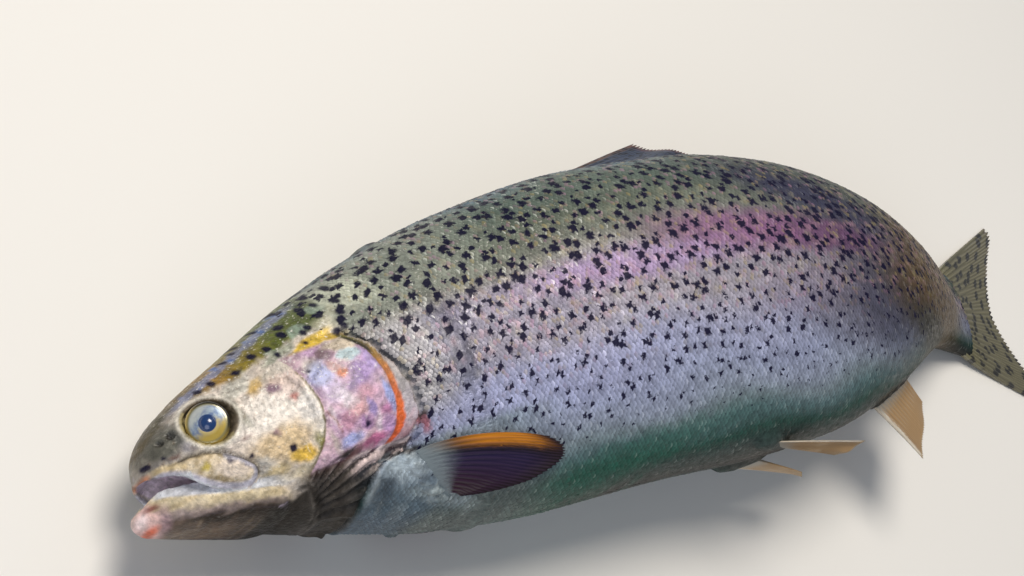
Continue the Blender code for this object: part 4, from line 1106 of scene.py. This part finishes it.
def scaleShapes(side, low, high, name):
    # each scale is an ellipse of points tilted up from its root, with a second one just under it
    s, angle, size, j, rng = scaleCoat()
    part = (s >= low) & (s < high)
    s, angle, size, j = s[part], angle[part], size[part], j[part]
    glint = rng.uniform(0, 1, scales["draws"])[:len(s)]
    root = onOval(s, side * angle, head["coatDepth"])
    ahead = onOval(s + 0.5, side * angle, head["coatDepth"]) - root
    round1 = onOval(s, side * (angle + 0.01), head["coatDepth"]) - root
    e1 = ahead / np.linalg.norm(ahead, axis=1)[:, None]
    n = np.cross(ahead, round1)
    n *= (np.sign(n[:, 2] * side + 1e-9) / np.linalg.norm(n, axis=1))[:, None]
    flip = np.sign(np.einsum("ij,ij->i", n, np.stack([0 * s, np.cos(angle), side * np.sin(angle)], -1)))
    n *= flip[:, None]
    e2 = np.cross(n, e1)
    count = scales["outline"]
    th = fullTurn(count)
    a = scales["length"] * np.cos(th) * np.where(np.cos(th) > 0, 0.92, 1.0) + 0.25
    b = scales["width"] * np.sin(th)
    along = (a - a.min()) / (a.max() - a.min())                 # 0 at the root of a scale, 1 at its tip
    lifted = -scales["sink"] + (scales["lift"] + scales["sink"]) * along
    tilt = rng.normal(0, 0.05, (2, scales["draws"]))[:, :len(s)]
    a, b, lifted = a[None, :, None], b[None, :, None], lifted[None, :, None]
    k = size[:, None, None]
    spread = k * (a * e1[:, None] + b * e2[:, None])
    out = root[:, None] + spread
    rock = k * (tilt[0][:, None, None] * b + tilt[1][:, None, None] * a * 0.6)
    top = out + (lifted + rock) * n[:, None]
    under = out + (lifted + rock - scales["thick"]) * n[:, None] - 0.04 * spread
    line = np.where(j == 0, 0.09, 0.0)[:, None]
    centre = root + (0.22 * size)[:, None] * e1 + n * line
    points = np.concatenate([top, under, centre[:, None]], 1)
    per = 2 * count + 1
    ids = np.arange(count)
    nxt = (ids + 1) % count
    fan = np.stack([np.full(count, 2 * count), ids, nxt], -1)
    rim = np.stack([ids, ids + count, nxt + count, nxt], -1)
    floorFan = np.stack([np.full(count - 2, count), count + ids[2:], count + ids[1:-1]], -1)
    start = (np.arange(len(s)) * per)[:, None, None]
    faces = [(f[None] + start).reshape(-1, f.shape[1]) for f in (fan, rim, floorFan)]
    if side < 0:
        faces = [f[:, ::-1] for f in faces]
    flat = points.reshape(-1, 3)
    rootRows = np.repeat(root, per, 0)
    marks = markings(*flat.T)
    base = markings(*rootRows.T)
    marks["ground"] = 0.5 * marks["ground"] + 0.5 * base["ground"]
    marks["silver"] = base["silver"]
    marks["glint"] = np.repeat(glint, per)
    marks["edge"] = np.tile(np.concatenate([along, along, [0.42]]), len(s))
    piece = pieceFrom(name, bend(flat), faces, scaleHide, marks)
    piece.data.polygons.foreach_set("use_smooth", np.zeros(len(piece.data.polygons), bool))
    # each scale's patch on a plain unwrap of the skin: along the body one way, round it the other
    arcShare = np.repeat(angle / np.pi, per)
    local = points - root[:, None]
    du = np.einsum("ijk,ik->ij", local, e1) / (size[:, None] * 2.4)
    dv = np.einsum("ijk,ik->ij", local, e2) / (size[:, None] * 2.4)
    mapU = 0.02 + 0.96 * (np.repeat(s, per) - low) / (high - low) + 0.003 * du.ravel()
    mapV = 0.02 + 0.96 * arcShare + 0.003 * dv.ravel()
    loops = np.empty(len(piece.data.loops), np.int32)
    piece.data.loops.foreach_get("vertex_index", loops)
    layer = piece.data.uv_layers.new(name="OFBake")
    layer.data.foreach_set("uv", np.stack([mapU[loops], mapV[loops]], -1).astype(np.float32).ravel())
    print("scales:", name, len(s), "scales,", sum(len(f) * (f.shape[1] - 2) for f in faces), "triangles")


for side, word in sides:
    for low, high, length in ((40.0, 122.0, "front"), (122.0, 178.0, "shoulder"), (178.0, 240.0, "middle"),
                              (240.0, 365.0, "rear")):
        scaleShapes(side, low, high, "scales_" + length + "_" + word)

eyeLook = dict(pupil="#0a3266", iris="#7388ae", gold="#c8a92c", edge="#2e2817", wet=1.0)
eyeForm = dict(          # a profile turned about the eye's axis: rounded back, sunken iris, low lens
    radius=(0.05, 2.2, 4.2, 5.3, 5.62, 5.5, 5.1, 4.7, 3.9, 3.1, 2.25, 2.0, 1.88, 1.55, 1.1, 0.55, 0.03),
    height=(-5.2, -4.9, -3.7, -1.8, -0.2, 0.45, 0.85, 1.0, 1.12, 1.22, 1.30, 1.28, 1.38, 1.62, 1.86,
            2.02, 2.08),
    steps=65, sides=64)


def eyeMaterial(look):
    # Fish eye: a silvery guanine iris with gold in it under a clear cornea, round a deep blue-black lens; the
    # pale patch at the iris's upper front is a painted glare
    material, tree, shader = newMaterial("trout_eye")
    place = addNode(tree, "Attribute", carried("eyePlace"), (), "Vector")
    x, y, radius = addNode(tree, "SeparateXYZ", {}, (place,)).node.outputs
    streak = addNode(tree, "TexNoise", {}, dict(Vector=place, Scale=0.9, Detail=4.0))
    # how far each point lies towards the low front, the upper front and the upper rear of the iris
    low, paintedGlare, behind = [addNode(tree, "Math", scaled, (y, down, addNode(tree, "Math", times, (x, back))))
                          for down, back in ((-1.0, 0.22), (0.8, -0.55), (0.6, 0.8))]
    low = addNode(tree, "Math", scaled, (streak, 2.0, low))
    soft = dict(streak=(streak, 0.35, 0.65), gold=(low, 0.8, 4.2, 0.0, 0.9),
                paintedGlare=(paintedGlare, 1.4, 3.6, 0.0, 0.75), outside=(radius, 4.1, 4.9),
                inside=(radius, 3.3, 2.4), warm=(low, 0.2, 2.6, 0.0, 0.8),
                lens=(radius, 2.45, 2.0), rear=(behind, -1.0, 3.0), rim=(radius, 4.6, 5.15),
                metal=(radius, 2.2, 2.5, 0.0, 0.45))
    for key, numbers in soft.items():
        soft[key] = addNode(tree, "MapRange", smooth, numbers)
    ring = addNode(tree, "Math", times, (soft["inside"], soft["warm"]))
    edge = addNode(tree, "Mix", blend, {0: soft["rear"], 6: "#a8924a", 7: look["edge"]}, 2)
    tone = look["iris"]
    # the near-white #d9dbd0 wash at the upper front of the iris is a painted glare
    for amount, colour in ((soft["streak"], "#aab9c4"), (soft["gold"], look["gold"]),
                           (soft["paintedGlare"], "#d9dbd0"), (soft["outside"], "#8b8560"), (ring, "#e0c87e"),
                           (soft["lens"], look["pupil"]), (soft["rim"], edge)):
        tone = addNode(tree, "Mix", blend, {0: amount, 6: tone, 7: colour}, 2)
    setInputs(tree, shader, {"Base Color": tone, "Metallic": soft["metal"], "Roughness": 0.25,
                             "Coat Weight": look["wet"], "Coat Roughness": 0.02})
    return material


def eyePiece(side, word, material):
    # the profile's radius and height swept round the eye's axis
    steps, th = eyeForm["steps"], fullTurn(eyeForm["sides"])
    fineR, fineH = [np.interp(np.linspace(0, 1, steps), np.linspace(0, 1, len(line)), line)
                    for line in (eyeForm["radius"], eyeForm["height"])]
    axis = np.array(head["eyeAxis"]) * (1, 1, side)
    axis /= np.linalg.norm(axis)
    e1 = np.array([1.0, 0, 0]) - axis * axis[0]
    e1 /= np.linalg.norm(e1)
    e2 = np.cross(axis, e1)
    if e2[1] < 0:
        e2 = -e2
    x, y = fineR[:, None] * np.cos(th), fineR[:, None] * np.sin(th)
    centre = np.array(head["eye"]) * (1, 1, side)
    rings = centre + x[..., None] * e1 + y[..., None] * e2 + fineH[:, None, None] * axis
    points, faceSets = outward(closedForm(rings))
    place = placed(x, y, fineR[:, None]).reshape(-1, 3)
    marks = dict(eyePlace=np.concatenate([place, np.zeros((2, 3))]))
    pieceFrom("eye_ball_" + word, bend(points), faceSets, material, marks, ("eye_" + word,))


eyeStuff = eyeMaterial(eyeLook)
for side, word in sides:
    eyePiece(side, word, eyeStuff)
print("eyes made")


def rayedFin(name, roots, tips, settings, material, replaces):
    # a thin web over a fan of rays: each ray is a ridge that forks towards the edge
    rays, steps = settings["rays"], settings.get("steps", 44)
    k = np.linspace(0, 1, rays * 10 + 1)
    t = np.linspace(0, 1, steps)[:, None]
    a, b = roots(k), tips(k)
    ridge = np.cos(np.pi * k * rays) ** 2
    fork = np.cos(np.pi * k * rays * 2) ** 2
    height = ridge[None] * fall(t, 0.45, 0.3) + fork[None] * rise(t, 0.45, 0.3)
    height = height * smoothStep(t / settings["bare"]) if "bare" in settings else height
    reach = 1 - settings.get("notch", 0.03) * (1 - fork)
    half = settings["web"] + (settings["ray"] - settings["web"]) * height
    half = half * (1 - settings.get("taper", 0.72) * t ** 0.8)
    grow = t * reach[None]
    mid = a[None] + (b - a)[None] * grow[..., None]
    mid[..., 1] += settings.get("arch", 0.0) * (1 - 0.8 * k[None]) * 4 * t * (1 - t)
    if "clear" in settings:          # rises out of the flank, then lies close over it
        clear = skinAt(mid[..., 0], mid[..., 1]) - 0.7 + (1.1 + settings["clear"]) * rise(t, -0.03, 0.15)
        mid[..., 2] = np.sign(mid[..., 2]) * np.maximum(np.abs(mid[..., 2]), clear)
    side = np.asarray(settings["side"], float)
    side = side / np.linalg.norm(side)
    wave = settings.get("wave", 0.0) * t * np.sin(k[None] * settings.get("folds", 3.0) * np.pi + 2.2 * t)
    mid = mid + wave[..., None] * side
    front, rear = mid + half[..., None] * side, mid - half[..., None] * side
    rings = np.concatenate([front, rear[:, ::-1]], 1)
    rows, cols = rings.shape[:2]
    i = np.arange(len(k) - 1)
    ladder = np.stack([i, cols - 1 - i, cols - 2 - i, i + 1], -1)     # closes an end between the faces
    faceSets = [gridFaces(rows, cols), ladder, ladder[:, ::-1] + (rows - 1) * cols]
    points, faceSets = outward((rings.reshape(-1, 3), faceSets))
    kk = np.repeat(k[None], steps, 0)
    tt = grow + 0 * kk
    place = np.stack([np.concatenate([kk, kk[:, ::-1]], 1), np.concatenate([tt, tt[:, ::-1]], 1),
                      np.concatenate([height, height[:, ::-1]], 1)], -1).reshape(-1, 3)
    pieceFrom(name, bend(points), faceSets, material, dict(finPlace=place), replaces)


def finMaterial(name, look):
    # Fin web: thin pigmented skin between bony rays, wet, a little lighter along each ray
    material, tree, shader = newMaterial(name)
    place = addNode(tree, "Attribute", carried("finPlace"), (), "Vector")
    across, out, ray = addNode(tree, "SeparateXYZ", {}, (place,)).node.outputs
    rough = addNode(tree, "TexNoise", {}, dict(Vector=place, Scale=14.0, Detail=4.0))
    blur = addNode(tree, "Math", scaled, (rough, 0.18, -0.09))
    across, out = [addNode(tree, "Math", plus, (way, blur)) for way in (across, out)]
    soft = dict(low=(across, 0.3, 0.9), dark=(across, look["bandStart"], look["bandStart"] + 0.12),
                leadRoot=(out, 0.15, 0.5), lead=(across, look["leadShare"] * 0.6, look["leadShare"] * 1.5),
                root=(out, 0.0, look.get("rootShare", 0.35)), rim=(out, look.get("rimStart", 0.9), 1.0))
    for key, numbers in soft.items():
        soft[key] = addNode(tree, "MapRange", smooth, numbers)
    leadRoot = look.get("leadRoot", look["lead"])
    lead = addNode(tree, "Mix", blend, {0: soft["leadRoot"], 6: leadRoot, 7: look["lead"]}, 2)
    tone = addNode(tree, "Mix", blend, {0: soft["low"], 6: look["web"], 7: look.get("low", look["web"])}, 2)
    for key, colour in (("dark", look["dark"]), ("lead", lead), ("root", look["root"])):
        tone = addNode(tree, "Mix", blend, {0: soft[key], 6: colour, 7: tone}, 2)
    tone = addNode(tree, "Mix", blend, {0: soft["rim"], 6: tone, 7: look["rim"]}, 2)
    ray = addNode(tree, "Math", times, (ray, look.get("rayTint", 0.3)))
    tone = addNode(tree, "Mix", blend, {0: ray, 6: tone, 7: look["rays"]}, 2)
    if "spots" in look:
        cells = addNode(tree, "TexVoronoi", dict(voronoi_dimensions="2D"),
                        dict(Vector=place, Scale=look["spots"], Randomness=0.8), "Distance")
        spot = addNode(tree, "MapRange", smooth, (cells, 0.22, 0.34, 0.85, 0.0))
        tone = addNode(tree, "Mix", blend, {0: spot, 6: tone, 7: "#1b1c22"}, 2)
    setInputs(tree, shader, {"Base Color": tone, "Roughness": 0.38, "Coat Weight": look.get("wet", 0.4),
                             "Specular IOR Level": look.get("gloss", 0.5), "Coat Roughness": 0.12})
    return material


breastLook = dict(root="#7b868a", web="#1f1838", dark="#0d0912", lead="#bd7716", rim="#140d0b",
                  rays="#54405c", low="#2a1220", leadRoot="#5e4220", bandStart=0.22, leadShare=0.16,
                  rootShare=0.28, rimStart=0.72, rayTint=0.20, wet=0.12, gloss=0.2)
bellyFinLook = dict(root="#a3a39c", web="#9a7a52", dark="#8a6a48", lead="#d8d2c4", rim="#a98a5c",
                    rays="#b59a72", bandStart=0.05, leadShare=0.05, rootShare=0.3, rimStart=0.94,
                    rayTint=0.35)
backFinLook = dict(root="#4d5a5c", web="#2f3a52", dark="#2a3346", lead="#5a4030", rim="#6a3a2c",
                   rays="#5a5f66", bandStart=0.04, leadShare=0.05, rootShare=0.3, rimStart=0.86,
                   rayTint=0.35, spots=11.0)
tailLook = dict(root="#6f6b4a", web="#5d5a48", dark="#5d5a48", lead="#4a4638", rim="#4a3c34", rays="#8a8468",
                bandStart=-0.2, leadShare=0.01, rootShare=0.4, rimStart=0.93, rayTint=0.4, spots=9.0)
breastFin, bellyFin = finMaterial("amber_breast_fin", breastLook), finMaterial("pale_belly_fin", bellyFinLook)
backFin, tailFin = finMaterial("dusky_back_fin", backFinLook), finMaterial("spotted_tail_fin", tailLook)


# the breast fin: rays swing back and down from a slanting root, the last ones short
finShare = (0, 0.25, 0.5, 0.75, 1)
rootS, rootV = (66.3, 67.7, 69.6, 71.8, 75.0), (-22.1, -24.6, -27.6, -30.6, -34.2)
tipShare = (0, 0.06, 0.13, 0.22, 0.32, 0.45, 0.6, 0.75, 0.88, 1)
finTip = [curveThrough(tipShare, row) for row in (
    (105.1, 107.9, 109.8, 110.0, 108.6, 104.0, 97.4, 90.4, 83.9, 79.0),
    (-29.8, -31.5, -33.4, -35.0, -36.3, -37.5, -38.2, -37.8, -36.9, -35.8),
    (25.3, 24.5, 23.6, 22.8, 21.9, 20.6, 18.8, 17.4, 16.3, 15.6))]
for side, word in sides:
    def roots(k, side=side):
        s, v = np.interp(k, finShare, rootS), np.interp(k, finShare, rootV)
        return placed(s, v, side * (skinAt(s, v) - 0.7))

    def tips(k, side=side):
        return placed(*(fit(k) for fit in finTip[:2]), side * finTip[2](k))
    rayedFin("breast_fin_" + word, roots, tips,
             dict(rays=13, web=0.24, ray=0.55, side=(0.0, -0.3, side), wave=0.4 * side, folds=3.0, notch=0.02,
                  arch=2.0, clear=0.9, bare=0.3),
             breastFin, ("pectoral_fin_" + word,))

    def roots(k, side=side):
        s, u = 192.0 + 8.5 * k, 10.5 - 5.0 * k
        c = unrounded(np.clip(np.abs(u) / halfWidth(s), 0, 0.999))
        mid, half = midAndHalf(s)
        return placed(s, mid - half * rounded(np.sqrt(1 - c ** 2)) - 0.6, side * u)

    def tips(k, side=side, roots=roots):
        reach = 37.0 - 17.0 * k
        return roots(k, side) + placed(reach * 0.93, -reach * (0.16 + 0.12 * k) - 0.9, side * reach * 0.10)
    rayedFin("belly_fin_" + word, roots, tips,
             dict(rays=10, web=0.22, ray=0.55, side=(0.1, -0.75, side * 0.65), wave=0.3, notch=0.03),
             bellyFin, ("pelvic_fin_" + word,))

rayedFin("back_fin", lambda k: placed(163.0 + 51.0 * k, backEdge(163.0 + 51.0 * k) - 0.3, 0.0),
         lambda k: placed(163.0 + 51.0 * k + (40.0 - 21.0 * k) * 0.965,
                          backEdge(163.0 + 51.0 * k) + 0.45 + (40.0 - 21.0 * k) * (0.21 - 0.12 * k),
                          -(40.0 - 21.0 * k) * 0.12),
         dict(rays=13, web=0.24, ray=0.62, side=(0, 0.6, 1), wave=0.5, folds=4.0, notch=0.05),
         backFin, ("dorsal_fin",))
rayedFin("fat_fin", lambda k: placed(296.5 + 7.0 * k, backEdge(296.5 + 7.0 * k) - 0.6, 0.0),
         lambda k: placed(296.5 + 7.0 * k + 13.0 - 5.0 * k, backEdge(297.0 + 7.0 * k) + 6.5 - 4.5 * k, 0.0),
         dict(rays=4, web=0.95, ray=1.0, side=(0, 0, 1), taper=0.6, notch=0.0, steps=24),
         tailFin, ("adipose_fin",))
rayedFin("vent_fin", lambda k: placed(258.0 + 27.0 * k, bellyEdge(258.0 + 27.0 * k) + 0.3, 0.0),
         lambda k: placed(258.0 + 27.0 * k + (27.0 - 15.0 * k) * 0.66,
                          bellyEdge(258.0 + 27.0 * k) - 0.5 - (27.0 - 15.0 * k) * 0.68, 0.0),
         dict(rays=12, web=0.24, ray=0.6, side=(0, 0, 1), wave=0.3, notch=0.03), bellyFin, ("anal_fin",))


def tailRoots(k):
    # the stalk's end, a shallow arc
    k = 2 * k - 1
    return placed(body["stalkEnd"] - 1.0 + 3.0 * (1 - k ** 2), 0.4 + 15.6 * k, 0.0)


def tailTips(k):
    # a slightly forked edge with rounded corners
    k = 2 * k - 1
    lobe = np.clip((1 - np.abs(k)) / 0.14, 0, 1) ** 0.5
    return placed(387.0 + 18.5 * np.abs(k) ** 1.5 * (0.72 + 0.28 * lobe),
                  0.5 + 37.0 * np.sign(k) * np.abs(k) ** 0.95, -0.45)


rayedFin("tail_fan", tailRoots, tailTips,
         dict(rays=22, web=0.55, ray=1.35, side=(0, 0, 1), taper=0.76, notch=0.035, steps=56),
         tailFin, ("tail_fin",))
print("fins made")

# floor, light and camera
studio = dict(floorColour="#e9e7e2", cameraPlace=(-0.49899, -0.10470, 0.49629),
              forward=(0.66404, 0.20694, -0.71849), up=(0.17176, 0.89302, 0.41595), lens=71.198)
floorCorners = np.array([[-6, -6, -0.0004], [6, -6, -0.0004], [6, 6, -0.0004], [-6, 6, -0.0004]])
floorMesh = meshFrom("studio_floor", floorCorners, [np.array([[0, 1, 2, 3]])])
floorObj = inScene("studio_floor", floorMesh)
floorStuff, floorTree, floorShader = newMaterial("pale_studio_paper")
setInputs(floorTree, floorShader, {"Base Color": studio["floorColour"], "Roughness": 0.85})
floorMesh.materials.append(floorStuff)


def areaLight(name, place, target, size, power, colour="#ffffff"):
    light = bpy.data.lights.new(name, "AREA")
    light.shape = "DISK"
    light.size = size
    light.energy = power
    light.color = toLinear(colour)
    obj = inScene(name, light)
    obj.location = place
    obj.rotation_euler = (Vector(target) - Vector(place)).to_track_quat("-Z", "Y").to_euler()


areaLight("key_light", (-0.16, 0.42, 1.22), (-0.03, 0, 0.03), 0.66, 14.0, "#fff7ec")
areaLight("fill_light", (-1.2, -0.8, 0.8), (-0.05, 0, 0.03), 1.2, 6.5, "#eef2ff")
areaLight("rear_light", (1.1, 0.8, 0.9), (0.05, 0, 0.03), 0.9, 1.6, "#f2f4ff")
world = bpy.data.worlds.new("studio_air")
world.use_nodes = True
setInputs(world.node_tree, world.node_tree.nodes["Background"], dict(Color="#dfe6f0", Strength=0.28))
bpy.context.scene.world = world
bpy.context.scene.view_settings.view_transform = "Standard"

cameraData = bpy.data.cameras.new("photo_camera")
cameraData.sensor_width = 36.0
cameraData.lens = studio["lens"]
cameraData.clip_start = 0.02
camera = inScene("photo_camera", cameraData)
forward, upward = Vector(studio["forward"]).normalized(), Vector(studio["up"]).normalized()
rightward = forward.cross(upward).normalized()
upward = rightward.cross(forward)
turn = Matrix((rightward, upward, -forward)).transposed().to_4x4()
camera.matrix_world = Matrix.Translation(Vector(studio["cameraPlace"])) @ turn
bpy.context.scene.camera = camera
print("stage set")
